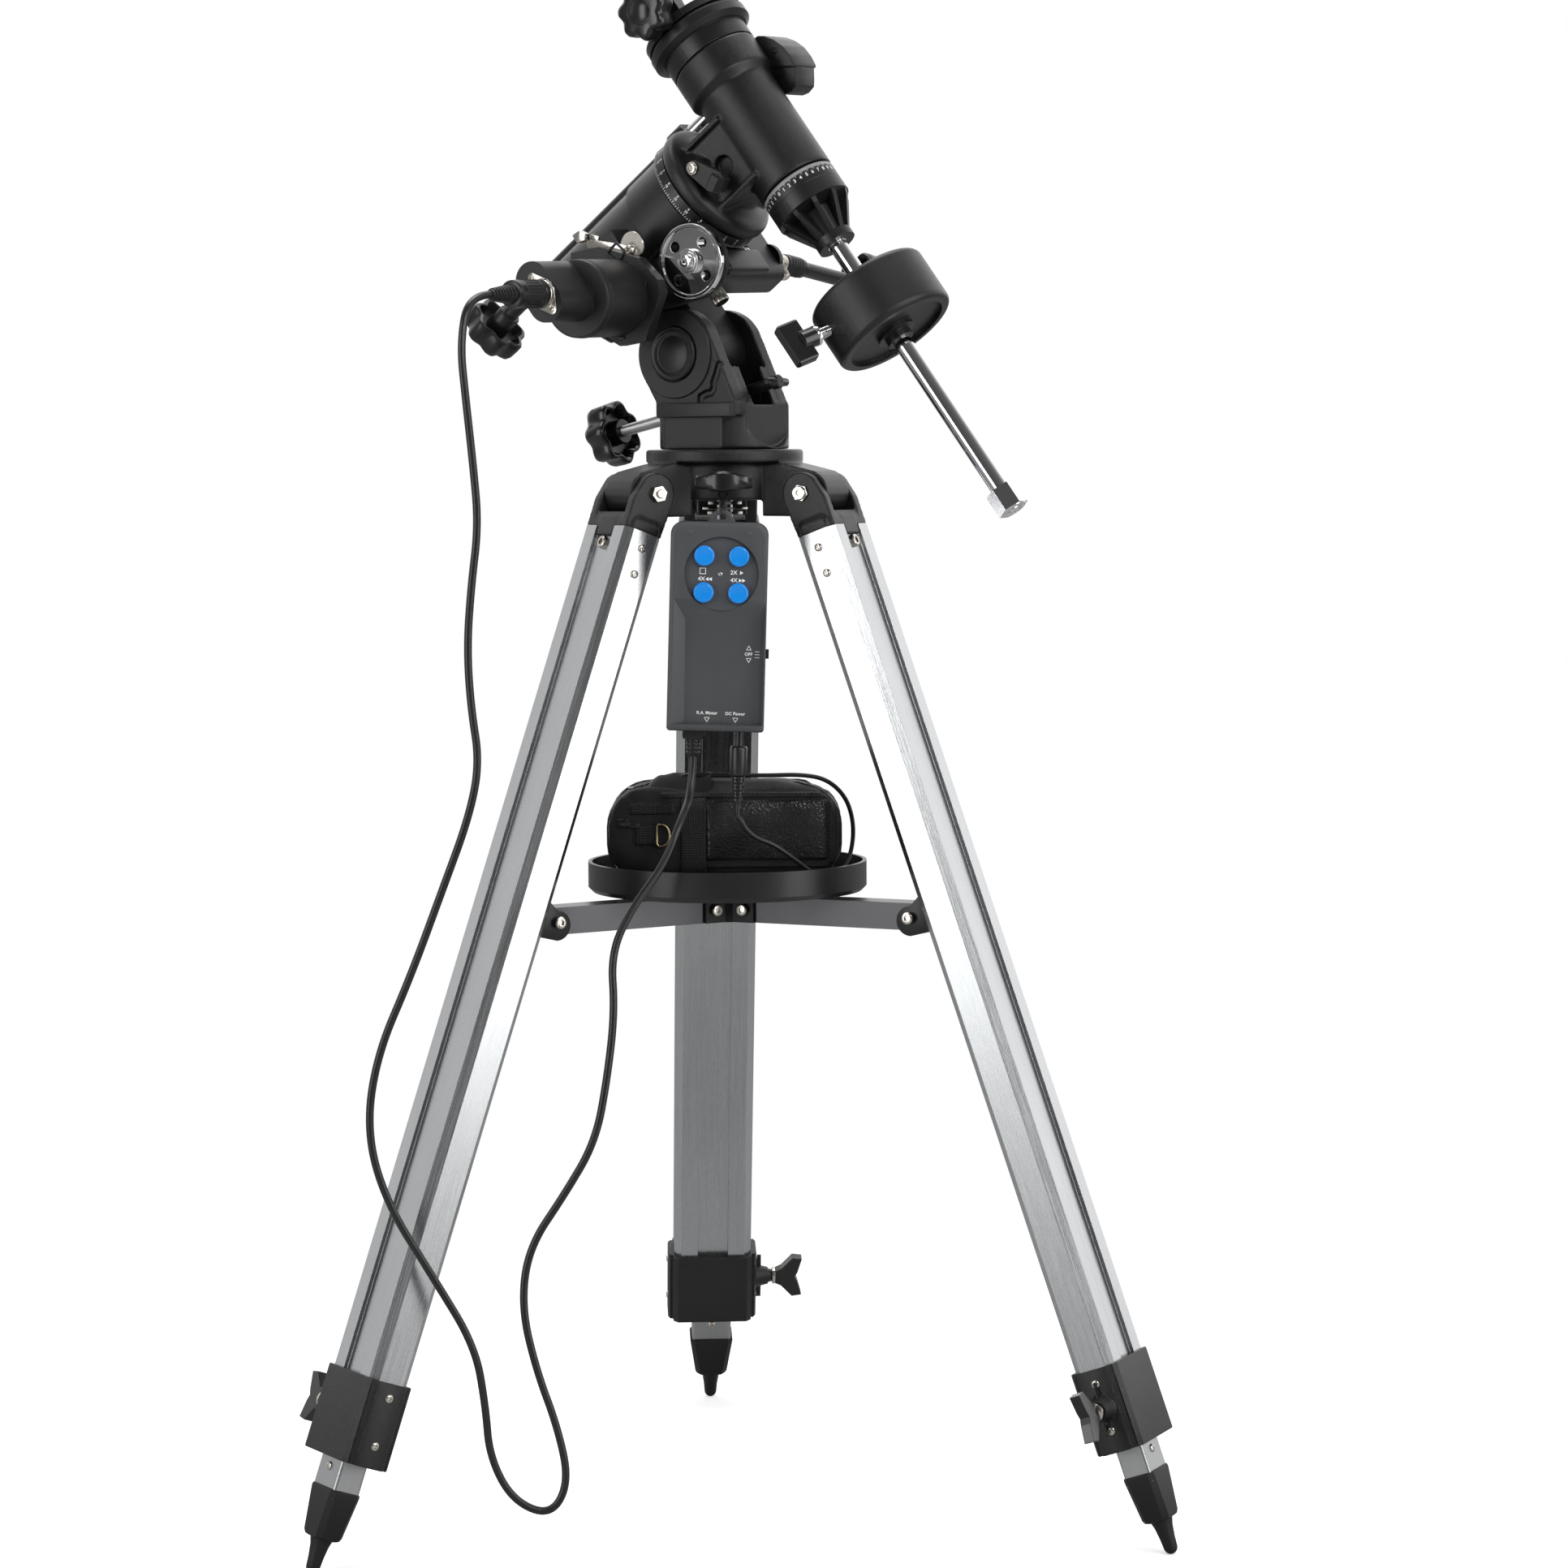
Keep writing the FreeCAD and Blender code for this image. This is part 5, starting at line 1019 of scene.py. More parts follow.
def foot_cuts(bm):
    slab(bm, AZIMUTH, [(-60, 770), (-60, 732.5), (-29, 722.5)] + arc(0, 722, 29, 180, 360, 24)[1:-1]
         + [(29, 722.5), (60, 724), (60, 770)], 35.4, 60)
    for y, z in SLOT:
        rings(bm, facing(AZIMUTH, 35.5, y, z, "X"), [(-3.0, 2.1), (3.0, 2.1)], 24)
    for (y0, z0), (y1, z1) in zip(SLOT, SLOT[1:]):
        along = Vector((y1 - y0, z1 - z0)).normalized() * 2.1
        side = Vector((along.y, -along.x))
        slab(bm, AZIMUTH, [(y0 + side.x, z0 + side.y), (y1 + side.x, z1 + side.y), (y1 - side.x, z1 - side.y),
                           (y0 - side.x, z0 - side.y)], 32.6, 38.0)
    block(bm, AZIMUTH, (-14.8, 24.0), (-60, 22.6), (718, 800), 0.01, 1)
    block(bm, AZIMUTH, (-7.5, 15.5), (10, 60), (731, 772.5), 0.01, 1)
    upright = AZIMUTH @ Matrix(((1, 0, 0, 0), (0, 0, 1, 0), (0, 1, 0, 0), (0, 0, 0, 1)))
    prism(bm, upright, [(-60, 760), (-60, 729)] + [(x, z) for x, z in arc(0, 733, 30, 200, 330, 20)]
          + [(35.3, 729), (35.3, 760)], 34.6, 60, 0.0)


def foot_ledge(bm):
    block(bm, AZIMUTH, (33, 39.6), (-26.5, 33.5), (722.6, 732.2), 1.0, 3)


def axle_boss(bm):
    lathe(bm, facing(AZIMUTH, 0, *AXLE, "X"),
          [(17.9, 34.0), (28.9, 34.0), (28.9, 36.2), (28.3, 36.8), (18.4, 36.8), (17.9, 36.3)], 96)


def axle(bm):
    place = facing(AZIMUTH, 0, *AXLE, "X")
    rings(bm, place, [(-31, hexagon(8.6)), (-24.3, hexagon(8.6))], 48)
    rings(bm, place, [(-28, 6), (35, 6)], 40)
    rings(bm, place, [(34.6, 17.4), (37.8, 17.4), (38.8, 16.8), (39.4, 15.6), (39.3, 14.2), (38.6, 13.0), (38.0, 12.3),
                      (37.9, 11.6), (38.1, 11.2), (38.1, 0.3)], 96)


cast("mount_foot", "cast_black", "azimuth", foot_casting, foot_cuts, ("azimuth_base",))
made("mount_foot_ledge", "cast_black", "azimuth", foot_ledge, 30)
made("axle_boss", "cast_black", "azimuth", axle_boss, 30)
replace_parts(made("axle_and_cap", "satin_black", "azimuth", axle, 30), "altitude_axle")


def head_casting(bm):
    lathe(bm, POLAR, [(12.3, -54), (40.8, -54), (42.4, -52.9), (43, -51.2), (43, -47.8), (42.0, -44.9), (39.0, -42.6),
                      (34, -41.2), (29, -38.5), (26.5, -34), (12.3, -34)], 96)
    block(bm, POLAR, (-24, 24), (-19.6, 26), (-44, -6), 1.0)
    for y0, y1 in ((-22.6, -19.0), (23.4, 27.0)):
        block(bm, POLAR, (18, 27.4), (y0, y1), (-45.5, -7.5), 0.5)
    across = facing(POLAR, 0, 0, 0, "Y")
    lathe(bm, across, [(18.3, -62.6), (29.2, -62.6), (29.8, -62.0), (29.8, -41.2), (29.2, -40.4), (26.4, -36.6),
                       (26.0, -35.6), (26.0, 39.2), (25.4, 39.8), (18.3, 39.8)], 96)
    rings(bm, facing(POLAR, 18, -3, -37, "X"), [(0, 6.4), (11.0, 5.6), (13.0, 5.2)], 40)


def head_cuts(bm):
    rings(bm, facing(POLAR, 19, 4.5, -25, "X"), [(0, 6.6), (9, 6.6)], 40)
    rings(bm, POLAR, [(-60, 11.8), (-30, 11.8)], 40)


def worm_block(bm):
    slab(bm, POLAR, [(-40, 6), (-62, 6), (-62.4, 20), (-61.6, 27.5), (-58, 31.8), (-51.5, 36), (-44, 38.7), (-36, 39.3),
                     (-29, 38.4), (-27.6, 37.0), (-37, 25.5), (-38, 16)], -43, -16, 1.0)
    slab(bm, POLAR, [(-46, 8), (-46, 26), (-36, 36.0), (-28, 37.2), (-21.5, 32.4), (-18.2, 29.5), (-17.6, 24),
                     (-19.5, 19), (-28, 12)], -41, -18.5, 0.8)
    cross_screw(bm, facing(POLAR, -16.2, -45.5, 32.5, "X"), 2.6, 1.0)


CONTROL_ROD = POLAR @ shift(-30, -52, 0)


def control_rod(bm):
    side = CONTROL_ROD
    loft(bm, side, [(-75, octagon(6.4, 6.8, 2.6)), (-73.6, octagon(7.6, 8.2, 3.2)), (-60.2, octagon(7.6, 8.2, 3.2)),
                    (-59, octagon(6.8, 7.4, 3.0))])
    rings(bm, side, [(-262, 5.5), (-74, 5.5)], 32)
    rings(bm, side, [(-264, 8), (-253, 8), (-252, 7.2)], 32)
    star(bm, facing(side, 0, 0, -262, "-Z"), 22, 17)


def lobes(radius, depth):
    """Seven rounded fingers with wide hollows between them."""
    return lambda angle: radius - depth * (0.5 - 0.5 * math.cos(7 * angle)) ** 1.15


def star(bm, place, radius, thick, cap=8.8):
    """A star knob, cupped on its near side, with a round inset in its face; it stands on z = 0."""
    deep = radius * 0.15
    rim = [(z, lobes(radius * part, deep)) for z, part in (
        (thick * 0.40, 0.74), (0.4, 0.86), (0.0, 0.90), (0.3, 0.95), (1.4, 0.99), (thick * 0.3, 1),
        (thick * 0.72, 0.985), (thick * 0.90, 0.93), (thick * 0.975, 0.84))]
    rim.append((thick, lobes(radius * 0.74, deep * 0.7)))
    inset = [(thick + 0.1, cap + 0.6), (thick - 0.5, cap + 0.2), (thick - 0.5, cap - 0.3), (thick, cap - 0.8),
             (thick + 0.15, 0.4)]
    rings(bm, place, [(thick * 0.42, 7.5)] + rim + inset, 140, (False, True))
    rings(bm, place, [(-2.0, 8.0), (thick * 0.5, 8.4)], 40)


cast("head_casting", "cast_black", "polar_shaft", head_casting, head_cuts, ("declination_housing",))
made("head_worm_block", "cast_black", "polar_shaft", worm_block, 30)
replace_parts(made("declination_control_rod", "satin_black", "declination_control", control_rod, 40),
            "declination_control")
made("declination_stub", "chrome", "declination_control",
     lambda bm: rings(bm, CONTROL_ROD, [(-61, 4.8), (10, 4.8)], 40))


def latitude_knob(bm):
    rings(bm, facing(LATITUDE, 0, 0, 0, "Y"), [(-52, 3.5), (17, 3.5)], 32)


def latitude_star(bm):
    star(bm, facing(LATITUDE, 0, -43.5, 0, "-Y"), 22, 17)


def control_knob(bm):
    rings(bm, CONTROL, [(1.2, 8), (3, 8), (3, 5.5), (12, 5.5), (12, 6.5), (30, 6.5), (31, 5), (96, 5)], 40)
    rings(bm, facing(CONTROL, 0, 0, 7, "Y"), [(2, 2.5), (11, 2.5)], 24)
    star(bm, facing(CONTROL, 0, 0, 92, "Z"), 22, 16)


def saddle_star(bm):
    at = facing(DECLINATION, 0, 0, -101, "X")
    rings(bm, at, [(21.5, 3.0), (42, 3.0)], 24)
    rings(bm, at, [(32.4, 8), (39.5, 8)], 32)
    star(bm, at @ shift(0, 0, 37.3), 19, 14.5, 8.2)


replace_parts(made("latitude_rod", "steel", "latitude_screw", latitude_knob), "latitude_screw")
made("latitude_star_knob", "knob_black", "latitude_screw", latitude_star, 50)
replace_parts(made("polar_star_knob", "knob_black", "polar_control", control_knob, 50), "polar_control")
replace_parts(made("saddle_star_knob", "knob_black", "saddle_knob", saddle_star, 50), "saddle_knob")


def latitude_handle(bm):
    """The short dark bolt that locks the tilt from the other side."""
    place = AZIMUTH @ shift(4, 20, 740) @ spin("X", 12)
    rings(bm, facing(place, 0, 0, 0, "Y"), [(-25.7, 3.5), (22, 3.5), (23, 4.6), (27.6, 4.6), (28.4, 3.8)], 32)
    for side in (-1, 1):
        rings(bm, facing(place, side * 2, 25.4, 0, "X" if side > 0 else "-X"), [(0, 3.2), (8.5, 2.6), (9.8, 1.6)], 24)


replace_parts(made("latitude_lock", "satin_black", "latitude_bolt", latitude_handle, 40), "latitude_bolt")


def pivot_bolts(bm):
    for place in LEGS.values():
        rings(bm, facing(place, 0, 0, 0, "X"), [(-27, 3.8), (27, 3.8)], 24)
        near = facing(place, 24.5, 0, 0, "X")
        rings(bm, near, [(0, hexagon(4.9)), (1.6, hexagon(4.9)), (1.9, hexagon(4.7))], 48)
        rings(bm, near, [(1.7, 4.5), (3.4, 4.4), (3.9, 4.0), (3.9, hexagon(1.8)), (1.9, hexagon(1.7))], 48)
        far = facing(place, -24.5, 0, 0, "-X")
        rings(bm, far, [(0, hexagon(4.9)), (3.2, hexagon(4.9)), (3.6, hexagon(4.6)), (3.6, 3.2)], 48)
        rings(bm, far, [(3.0, 2.9), (4.8, 2.9), (5.2, 2.4)], 24)


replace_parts(made("pivot_bolts", "nickel", "hub", pivot_bolts, 30), "leg_pivot_bolts")


def front_wing(bm):
    """The lock screw in the hub's front: two short wings on a rounded barrel."""
    at = FRONT @ shift(0, 0, 681)
    # half length, half width and half height of each section, and how far in front of the axis it stands
    half = [(4, 6.6, 6.6, 58.8), (8, 5.2, 5.8, 58.6), (11, 3.8, 5.0, 58.4), (17.8, 3.6, 4.4, 58.2),
            (18.6, 3.2, 3.2, 58.2)]
    wing = [(-x, *size) for x, *size in half[::-1]] + [(0, 7.2, 7.0, 59.0)] + half
    along = at @ Matrix(((0, 0, 1, 0), (1, 0, 0, 0), (0, 1, 0, 0), (0, 0, 0, 1)))
    loft(bm, along, [(x, [(y - out, z) for y, z in octagon(deep, tall, 1.6)]) for x, deep, tall, out in wing])
    rings(bm, facing(at, 0, 0, 0, "-Y"), [(19.5, 3), (40.3, 3), (40.3, 4), (56, 4)], 24)


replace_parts(made("azimuth_wing", "knob_black", "azimuth_lock", front_wing, 40), "azimuth_lock_screw")


def bracket(bm):
    """A disc, a thin strip and a folded tab that hold the motor's plate."""
    rings(bm, facing(POLAR, 0, 13.5, -95.2, "X"), [(55.0, 9.0), (56.6, 9.0), (56.9, 8.7)], 56)
    slab(bm, POLAR, [(-11.5, -121), (-6.5, -115), (5.0, -103.6), (12, -98), (16, -101.5), (10.7, -106.5), (-7, -124)],
         55.2, 57.4, 0.3)
    slab(bm, POLAR, [(-20.5, -127.5), (-19.5, -121), (-14.5, -118.5), (-11, -121), (-14, -127.5)], 53.5, 59.2, 0.8)
    slab(bm, POLAR, [(-13, -117), (-7.5, -112.5), (-6, -115), (-11, -119)], 54.5, 56.2, 0.4)
    cross_screw(bm, facing(POLAR, 57.0, 15.1, -97.9, "X"), 3.5, 2.6)


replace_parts(made("motor_strap", "nickel", "polar", bracket, 30), "motor_bracket")


def worm_lid(bm):
    """The hump of the housing over the worm."""
    block(bm, POLAR, (-24, 24), (42.6, 60.5), (-70, -61.2), 3.0, 4)


made("worm_lid", "cast_black", "polar", worm_lid, 40)


# ---------------------------------------------------------------- hand controller
def carved(name, look, body, build, cuts):
    """Closed shapes with crisp pockets cut into them."""
    holder = shape(name, build)
    return worked(name, look, body, holder, cut_out(holder, cuts), 30)


# the round well of the buttons as x and height, its bottom as y, and a frame whose z runs towards the front
WELL = (1.8, -33.1)
FACE = -13.6
HAND_FLAT = HAND @ Matrix.Rotation(pi / 2, 4, "X")
BUTTONS = (("button_stop", -9.4, -21.7), ("button_fast", 12.8, -21.7),
           ("button_back", -9.4, -45.1), ("button_ahead", 12.8, -45.1))


def controller_outline(inset=0.0):
    """The case seen from the front, as x and height: large round corners at the top, small ones at the foot."""
    x, points, large, small = 31.2 - inset, [], 8, 2.2
    top, foot = -large - inset, -131.8 + inset
    for cx, cz, r, a0 in ((x - large, top, large, 0), (-x + large, top, large, 90), (-x + small, foot, small, 180),
                          (x - small, foot, small, 270)):
        points += arc(cx, cz, r, a0, a0 + 90, 8)
    return points


def controller_body(bm):
    levels = [(-13.0, 1.6), (-12.4, 0.6), (-11.4, 0.0), (13.4, 0.0), (15.0, 0.6), (15.7, 1.5), (16.0, 2.8)]
    loft(bm, HAND_FLAT, [(z, controller_outline(inset)) for z, inset in levels])
    for x in (-18.5, 18.5):
        rings(bm, facing(HAND, x, -15.9, -7.2, "-Y"), [(-1, 1.9), (0.15, 1.8), (0.35, 1.4), (0.4, 0.1)], 24)
    lug = [(-10.5, -3), (-10.5, -0.6), (-7.6, 0.6), (-5.6, 3.6), (-4.2, 6.4), (-2.8, 7.3), (4.8, 7.3), (6.2, 6.4),
           (7.6, 3.6), (9.6, 0.6), (12.5, -0.6), (12.5, -3)]
    prism(bm, HAND_FLAT, lug, -4, 4, 0.6)


def controller_cuts(bm):
    mouth = [(-28.6, -129.8), (30.6, -129.8), (30.6, -50.6), (-28.2, -49.2)]
    floor = [(-20.2, -128.4), (28.4, -128.4), (28.4, -63.6), (-20.6, -62.6)]

    def between(t): return [(a[0] + (b[0] - a[0]) * t, a[1] + (b[1] - a[1]) * t) for a, b in zip(floor, mouth)]
    loft(bm, HAND_FLAT, [(9.5, floor), (16.0, mouth), (17.0, between(1.15))])
    rings(bm, facing(HAND, WELL[0], FACE, WELL[1], "-Y"), [(0, 23.4), (1.6, 23.7), (6, 24.4)], 96)
    eye = [(-2.6, 1.5), (4.6, 1.5), (4.6, 4.1), (2.6, 4.1), (2.6, 5.0), (-0.6, 5.0), (-0.6, 4.1), (-2.6, 4.1)]
    prism(bm, HAND_FLAT, eye, -9, 9, 0.05)
    block(bm, HAND, (28.6, 34), (-3.6, 3.6), (-91, -78), 0.2, 1)


def controller_fittings(bm):
    """The collar, the sleeve and the ribs of the cable gland."""
    cable = HAND @ shift(GLAND, 0, 0)
    wide = octagon(7.0, 5.2, 1.4)
    loft(bm, cable, [(-139.8, octagon(6.4, 4.6, 1.2)), (-138.4, wide), (-133, wide)])
    rings(bm, cable, [(-151.2, 3.0), (-150.4, 3.6), (-144, 4.4), (-139, 4.9), (-137, 5.0)], 32)
    for k in range(4):
        z, r = -149.6 + k * 2.6, 3.9 + 0.2 * k
        hoop(bm, cable, [(z, r), (z + 0.6, r + 0.5), (z + 1.4, r + 0.5), (z + 1.8, r)], 32)


def controller_well(bm):
    rings(bm, facing(HAND, WELL[0], 0, WELL[1], "-Y"), [(0, 23.6), (-FACE - 0.25, 23.6), (-FACE + 0.02, 23.3)], 96)


def well_screw(bm):
    cross_screw(bm, facing(HAND, 1.0, FACE, -33.2, "-Y"), 1.5, 0.7)


case = carved("controller_body", "grey_case", "hub", controller_body, controller_cuts)
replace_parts(case, "controller_case")
made("controller_fittings", "plastic_black", "hub", controller_fittings)
made("controller_well", "grey_case", "hub", controller_well, 30)
made("well_screw", "nickel", "hub", well_screw)

# the thin cord that hangs the controller on the neck of the azimuth lock screw: two loops tied in one knot
KNOT = HAND @ Vector((1, 1.5, 10.2))
loop_route = [KNOT] + [FRONT @ Vector(p) for p in (
    (-5.1, -43.5, 679.6), (-5.0, -43.5, 683.4), (-1.8, -43.5, 686.1), (1.8, -43.5, 686.1), (5.0, -43.5, 683.4),
    (5.1, -43.5, 679.6))] + [KNOT] + [HAND @ Vector((1, y, z)) for y, z in (
        (-5.4, 8.4), (-5.6, 5.0), (-4.6, 2.8), (4.6, 2.8), (5.6, 5.0), (5.4, 8.4))] + [KNOT]
hanging_loop = link("hanging_loop", curve_data("hanging_loop", loop_route, 0.0006), MATERIALS["cable_black"], "hub")


def loop_knot(bm):
    for turn, tilt in ((0, 0), (50, 40), (110, -35)):
        place = Matrix.Translation(KNOT) @ METRE @ spin("Z", turn) @ spin("X", tilt)
        sweep(bm, [place @ turned(1.25, 2 * pi * k / 20) for k in range(21)], 0.0006, 8)


made("loop_knot", "cable_black", "hub", loop_knot, 60)


def panel_marks(bm):
    def at(x, z, depth=-9.58):
        return lambda u, v: HAND @ Vector((x + u, depth, z + v))

    def triangle(x, z, depth, corners):
        bm.faces.new([bm.verts.new(at(x, z, depth)(u, v)) for u, v in corners])

    def outline(x, z, corners, wide=0.16):
        for a, b in zip(corners, corners[1:] + corners[:1]):
            a, b = Vector(a), Vector(b)
            side = (b - a).normalized() * wide
            out = Vector((side.y, -side.x))
            bar = (a - out - side, b - out + side, b + out + side, a + out - side)
            bm.faces.new([bm.verts.new(at(x, z)(*c)) for c in bar])
    face = FACE - 0.12
    write(bm, "2X", 3.7, at(9.6, -32.1, face))
    write(bm, "4X", 3.7, at(-11.0, -36.5, face))
    write(bm, "4X", 3.7, at(9.8, -37.0, face))
    right = [(-1.0, -1.25), (1.1, 0), (-1.0, 1.25)]
    left = [(-u, v) for u, v in right]
    triangle(14.6, -32.1, face, right)
    for x in (13.9, 16.0):
        triangle(x, -37.0, face, right)
    for x in (-7.4, -5.3):
        triangle(x, -36.5, face, left)
    for sides in ((-2.0, 2.0, 1.6, 2.0), (-2.0, 2.0, -2.0, -1.6), (-2.0, -1.6, -1.6, 1.6), (1.6, 2.0, -1.6, 1.6)):
        mark(bm, at(-10.2, -31.4, face), *sides)
    write(bm, "OFF", 2.9, at(20.3, -84.2))
    outline(20.4, -80.2, [(-1.5, -1.2), (1.5, -1.2), (0, 1.4)])
    outline(20.4, -88.0, [(-1.5, 1.2), (1.5, 1.2), (0, -1.4)])
    for z in (-82.4, -84.3, -86.2):
        mark(bm, at(25.8, z), -1.5, 1.5, -0.16, 0.16)
    write(bm, "R.A. Motor", 2.9, at(-5.5, -122.4))
    write(bm, "DC Power", 2.9, at(12.6, -122.6))
    for x in (-5.5, 12.8):
        outline(x, -126.6, [(-1.6, 1.3), (1.6, 1.3), (0, -1.5)])


made("panel_marks", "white_paint", "hub", panel_marks, 0)


def button_caps():
    for name, x, z in BUTTONS:
        def build(bm, x=x, z=z):
            front = facing(HAND, x, FACE, z, "-Y")
            rings(bm, front, [(-1.6, 6.3), (-0.2, 6.45), (2.2, 6.6), (3.0, 6.45), (3.65, 5.9), (3.85, 5.3), (3.7, 4.7),
                              (3.45, 3.0), (3.35, 0.2)], 48)
        cap = made(name + "_cap", "button_blue", name, build, 60)
        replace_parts(cap, name)


button_caps()


# ---------------------------------------------------------------- battery bag
def fabric(name, colour, rough, pitch, depth, sheen, mottle=0.3, crease=0.0008):
    """Woven cloth: fine threads, uneven colour and soft creases."""
    paint, n, place = blank(name)
    base = n.ramp(n.noise(place, 40, 6, Roughness=0.65), [(0.3, tuple(c * (1 - mottle) for c in colour)),
                                                          (0.7, tuple(c * (1 + mottle) for c in colour))])
    bands = [n.add("ShaderNodeTexWave", {"Vector": place, "Scale": 0.314 / pitch, "Distortion": 0.6, "Detail": 1.0,
                                         "Detail Scale": 2.0}, wave_type="BANDS", bands_direction=way).outputs["Fac"]
             for way in ("X", "Z")]
    threads = n.out("ShaderNodeMath", {0: bands[0], 1: bands[1]}, operation="MULTIPLY")
    folds = n.bump(n.noise(place, 70, 3, Distortion=0.6), crease)
    n.surface({"Base Color": base, "Roughness": rough, "Sheen Weight": sheen, "Specular IOR Level": 0.4,
               "Normal": n.bump(threads, depth, folds)})
    return paint


def leather():
    """Grained leather-look vinyl with broad highlights."""
    paint, n, place = blank("bag_leather")
    cloud = n.noise(place, 30, 5)
    cells = n.add("ShaderNodeTexVoronoi", {"Vector": place, "Scale": 620, "Randomness": 1.0}, feature="F1")
    n.surface({"Base Color": n.ramp(cloud, [(0.3, (0.008, 0.008, 0.0085)), (0.7, (0.016, 0.016, 0.017))]),
               "Roughness": n.span(cloud, 0.3, 0.7, 0.26, 0.38), "Specular IOR Level": 0.5,
               "Normal": n.bump(n.noise(place, 900, 3), 0.00012, n.bump(cells.outputs["Distance"], 0.00035))})
    return paint


MATERIALS["bag_nylon"] = fabric("bag_nylon_weave", (0.0055, 0.0055, 0.006), 0.62, 0.0009, 0.00012, 0.04)
MATERIALS["bag_webbing"] = fabric("bag_webbing", (0.007, 0.007, 0.0075), 0.55, 0.0016, 0.0004, 0.03, 0.2, 0.0002)
MATERIALS["bag_leather"] = leather()
MATERIALS["bag_piping"] = material("bag_piping", (0.010, 0.010, 0.011), 0.30, grain=(900, 0.0001), bevel=0)
MATERIALS["brass"] = material("brass_ring", (0.62, 0.50, 0.28), 0.22, metallic=1.0, mottle=0.08, bevel=0)


def settle(obj, kind=None, **settings):
    """Work the object's modifiers into its mesh."""
    if kind:
        modify(obj, kind, **settings)
    mesh = evaluated(obj)
    obj.modifiers.clear()
    obj.data = mesh


def bag_shell():
    """A padded box with round ends, blown up as cloth and settled on the tray."""
    bm = bmesh.new()
    for v in bmesh.ops.create_cube(bm, size=1)["verts"]:
        v.co = Vector((v.co.x * 155 - 1.5, v.co.y * 52, v.co.z * 66 + 449.5))
    upright = [e for e in bm.edges if abs(e.verts[0].co.y - e.verts[1].co.y) > 1]
    bmesh.ops.bevel(bm, geom=upright, offset=28, segments=8, affect="EDGES", profile=0.5)
    for v in bm.verts:
        v.co = FRONT @ v.co
    bag = placed("battery_bag", solid(bm, "battery_bag"))
    settle(bag, "REMESH", mode="VOXEL", voxel_size=0.0042)
    start = [v.co.copy() for v in bag.data.vertices]
    cloth = bag.modifiers.new("cloth", "CLOTH").settings
    cloth.use_pressure, cloth.uniform_pressure_force = True, 4.0
    cloth.effector_weights.gravity = 0
    cloth.quality = 6
    for step in range(1, 21):
        scene.frame_set(step)
    settle(bag)
    scene.frame_set(1)
    furthest = 0.007
    for v, old in zip(bag.data.vertices, start):
        move = v.co - old
        if move.length > furthest:
            v.co = old + move.normalized() * furthest
        p = TO_FRONT @ v.co
        # the bag sags: it pulls in between its seams, and lies flat on the tray
        p.y += 1.5 * noise.noise(Vector((p.x * 0.035, p.z * 0.05, 3.0 + (1 if p.y > 0 else 0))))
        p.z += 1.2 * noise.noise(Vector((p.x * 0.04, p.y * 0.05, 9.0))) * (1 if p.z > 450 else 0)
        p.x = max(-80.4, min(77.4, p.x))
        p.y = max(-28.6, min(28.6, p.y))
        p.z = max(415.2, min(485.2, p.z))
        v.co = FRONT @ p
    settle(bag, "SUBSURF", levels=1, render_levels=1)
    bag.data.shade_smooth()
    bag.data.materials.clear()
    bag.data.materials.append(MATERIALS["bag_nylon"])
    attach(bag, "tray")
    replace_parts(bag, "battery_pouch")
    return bag


bag = bag_shell()
bag_tree = BVHTree.FromObject(bag, bpy.context.evaluated_depsgraph_get())


def on_bag(x, z, lift=0.0, side=-1):
    """The point of the bag's front (or back) at x, z, moved out by lift; millimetres in the front frame."""
    start = FRONT @ Vector((x, side * 60, z))
    way = (FRONT @ Vector((x, 0, z)) - start).normalized()
    hit = bag_tree.ray_cast(start, way)[0]
    if hit is None:
        spot, normal = bag_tree.find_nearest(FRONT @ Vector((x, side * 16, z)))[:2]
        return spot + normal * lift * 0.001
    return FRONT @ Vector((x, (TO_FRONT @ hit).y + side * lift, z))


def on_top(x, y, lift=0.0):
    start = FRONT @ Vector((x, y, 520))
    hit = bag_tree.ray_cast(start, Vector((0, 0, -1)))[0]
    z = (TO_FRONT @ hit).z if hit is not None else 470
    return FRONT @ Vector((x, y, z + lift))


def sheet(bm, rows):
    """Faces between rows of points, open on every side."""
    for a, b in zip(rows, rows[1:]):
        for i in range(len(a) - 1):
            bm.faces.new((a[i], a[i + 1], b[i + 1], b[i]))


def patch(bm, x0, x1, z0, z1, thick, cells, wave=None):
    """A panel that follows the bag, with its edges rolled down onto it."""
    rows = []
    for j in range(cells[1] + 1):
        row = []
        for i in range(cells[0] + 1):
            u, v = i / cells[0], j / cells[1]
            edge = min(1.0, min(u, 1 - u) * (x1 - x0) / 1.6, min(v, 1 - v) * (z1 - z0) / 1.6)
            lift = thick * math.sqrt(max(0.0, edge * (2 - edge))) - 0.25 * (edge == 0)
            x, z = x0 + (x1 - x0) * u, z0 + (z1 - z0) * v
            if wave:
                lift += wave(x, z) * edge
            row.append(bm.verts.new(on_bag(x, z, lift)))
        rows.append(row)
    sheet(bm, rows)


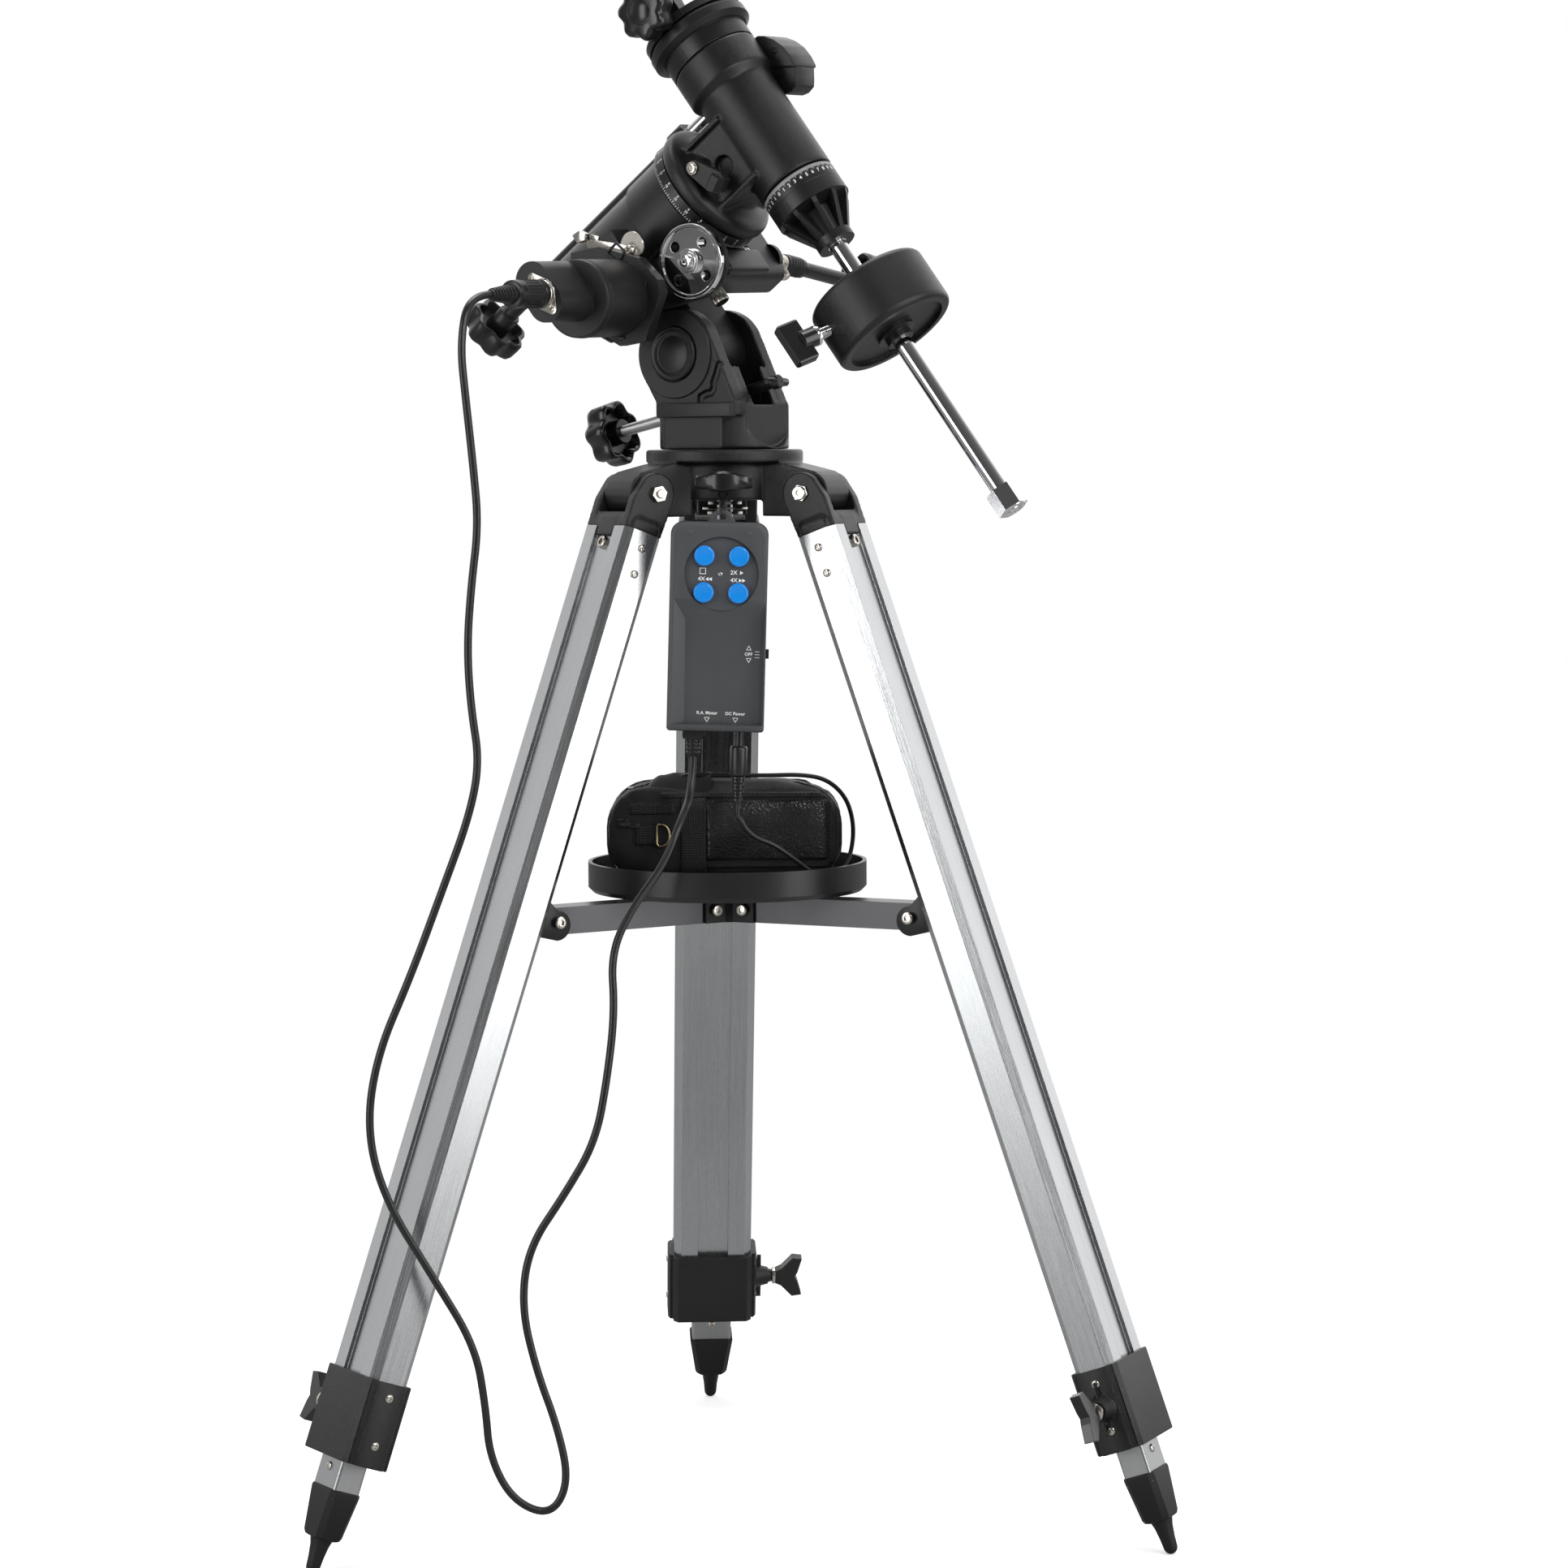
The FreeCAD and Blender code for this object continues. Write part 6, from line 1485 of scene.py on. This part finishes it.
def stitches(bm, start, end, pitch=2.6, long=1.7, wide=0.34, lift=1.25):
    """A row of raised stitches between two points of the bag's front, given as x and height."""
    start, end = Vector(start), Vector(end)
    count = int((end - start).length / pitch)
    way = (end - start).normalized()
    side = Vector((-way.y, way.x))
    for k in range(count):
        c = start + way * (k + 0.5) * pitch
        def at(u, v, up): return on_bag(*(c + way * u + side * v), up)
        low = [bm.verts.new(at(u, v, lift - 0.3)) for u, v in ((-long / 2, 0), (0, -wide), (long / 2, 0), (0, wide))]
        top = bm.verts.new(at(0, 0, lift + 0.42))
        for i in range(4):
            bm.faces.new((low[i], low[(i + 1) % 4], top))


def soft_piece(name, look, build, smooth=60):
    bm = bmesh.new()
    build(bm)
    return link(name, finish_mesh(bm, name, smooth), MATERIALS[look], "tray")


def bag_panel(bm):
    def folds(x, z):
        return (0.9 * math.sin((x - z) * 0.11 + 1.0) * math.exp(-((x + 2) / 22) ** 2)
                + 0.5 * noise.noise(Vector((x * 0.05, z * 0.07, 1.5))))
    patch(bm, -13.5, 66, 433.5, 473.5, 1.3, cells=(60, 34), wave=folds)


def bag_straps(bm):
    patch(bm, -30.5, -13.2, 417.5, 475.5, 1.9, cells=(20, 40))
    patch(bm, -64, -33.5, 464, 472, 1.5, cells=(20, 10))
    patch(bm, -60.5, -46, 443.5, 457.5, 1.5, cells=(14, 12))


def bag_seams(bm):
    """Bindings sewn round the front: along the top, down the right end and along the foot."""
    patch(bm, -44, 68, 474.6, 478.6, 1.2, cells=(60, 6))
    patch(bm, 66.6, 70.4, 430, 474, 1.2, cells=(5, 24))
    patch(bm, -13, 67, 428.5, 431.8, 1.1, cells=(44, 5))


def bag_thread(bm):
    for z in (475.4, 477.8):
        stitches(bm, (-43, z), (67, z))
    for x in (67.4, 69.6):
        stitches(bm, (x, 431), (x, 473))
    for x in (72.0, 73.6, 75.2):
        stitches(bm, (x, 438), (x, 466), 1.5, 1.1, 0.3, 0.1)
    stitches(bm, (-12, 430.2), (66, 430.2), lift=1.1)
    for x in (-29.5, -14.3):
        stitches(bm, (x, 419), (x, 474), 2.2, 1.5, 0.3, 1.75)
    stitches(bm, (-12.4, 472.3), (65, 472.3), 2.4, 1.6, 0.3, 1.25)
    stitches(bm, (64.9, 435), (64.9, 472), 2.4, 1.6, 0.3, 1.25)


def bag_ring(bm):
    """The brass D ring, hooked through its tab."""
    points = []
    for k in range(13):
        a = -pi / 2 + pi * k / 12
        points.append((-42.5 + 5.2 * math.cos(a), 450.7 + 7.2 * math.sin(a)))
    points += [(-44.4, 457.9), (-45.6, 456.6), (-45.6, 444.8), (-44.4, 443.5)]
    points.append(points[0])
    depth = max((TO_FRONT @ on_bag(x, z)).y * -1 for x, z in points) + 2.0
    sweep(bm, [FRONT @ Vector((x, -depth, z)) for x, z in points], 0.00075, 10)


def bag_slider(bm):
    """Slider and pull of the side zip."""
    spot = TO_FRONT @ on_bag(-67, 459)
    place = FRONT @ shift(spot.x, spot.y - 0.4, spot.z) @ spin("X", 90) @ spin("Z", -8)
    prism(bm, place, [(-4.0, -2.0), (2.2, -2.8), (3.2, -1.6), (3.2, 1.6), (2.2, 2.8), (-4.0, 2.0)], 0.0, 2.0, 0.5)
    pull = [(-3.4, -1.2), (4.0, -1.7), (4.6, 0), (4.0, 1.7), (-3.4, 1.2)]
    prism(bm, place @ shift(6.0, -1.0, 0.9), pull, 0.0, 0.9, 0.3)


def bag_flap(bm):
    """The soft flap on the top, under which the lead goes in."""
    rows = []
    for j in range(13):
        row = []
        for i in range(25):
            u, v = i / 24, j / 12
            x, y = -52 + 42 * u, -21 + 36 * v
            base = (TO_FRONT @ on_top(x, y)).z
            hump = 4.6 * math.exp(-((y + 10) / 7.5) ** 2) * min(1, (x + 52) / 8) + 1.0
            roll = min(1.0, min(u, 1 - u) * 42 / 3.0, min(v, 1 - v) * 36 / 3.0)
            if u > 0.9:
                roll = min(1.0, min(v, 1 - v) * 36 / 3.0)
            row.append(bm.verts.new(FRONT @ Vector((x, y, base + hump * roll + (0.35 * math.sin(x * 0.5) * roll)))))
        rows.append(row)
    sheet(bm, rows)


def bag_piping(bm):
    """Corded edge round the front and round the back."""
    for side in (-1, 1):
        outline = []
        for cx, cz, a0 in ((47, 456, 0), (-50, 456, 90), (-50, 444.5, 180), (47, 444.5, 270)):
            for k in range(9):
                a = math.radians(a0 + 90 * k / 8)
                outline.append((cx + 27.5 * math.cos(a), cz + 27.0 * math.sin(a)))
        outline.append(outline[0])
        sweep(bm, [on_bag(x, z, 0.1, side) for x, z in outline], 0.0011, 8)


soft_piece("bag_panel", "bag_leather", bag_panel)
soft_piece("bag_straps", "bag_webbing", bag_straps)
soft_piece("bag_seams", "bag_nylon", bag_seams)
soft_piece("bag_thread", "bag_piping", bag_thread)
soft_piece("bag_ring", "brass", bag_ring)
soft_piece("bag_slider", "knob_black", bag_slider, 35)
soft_piece("bag_flap", "bag_nylon", bag_flap)
soft_piece("bag_piping", "bag_piping", bag_piping)
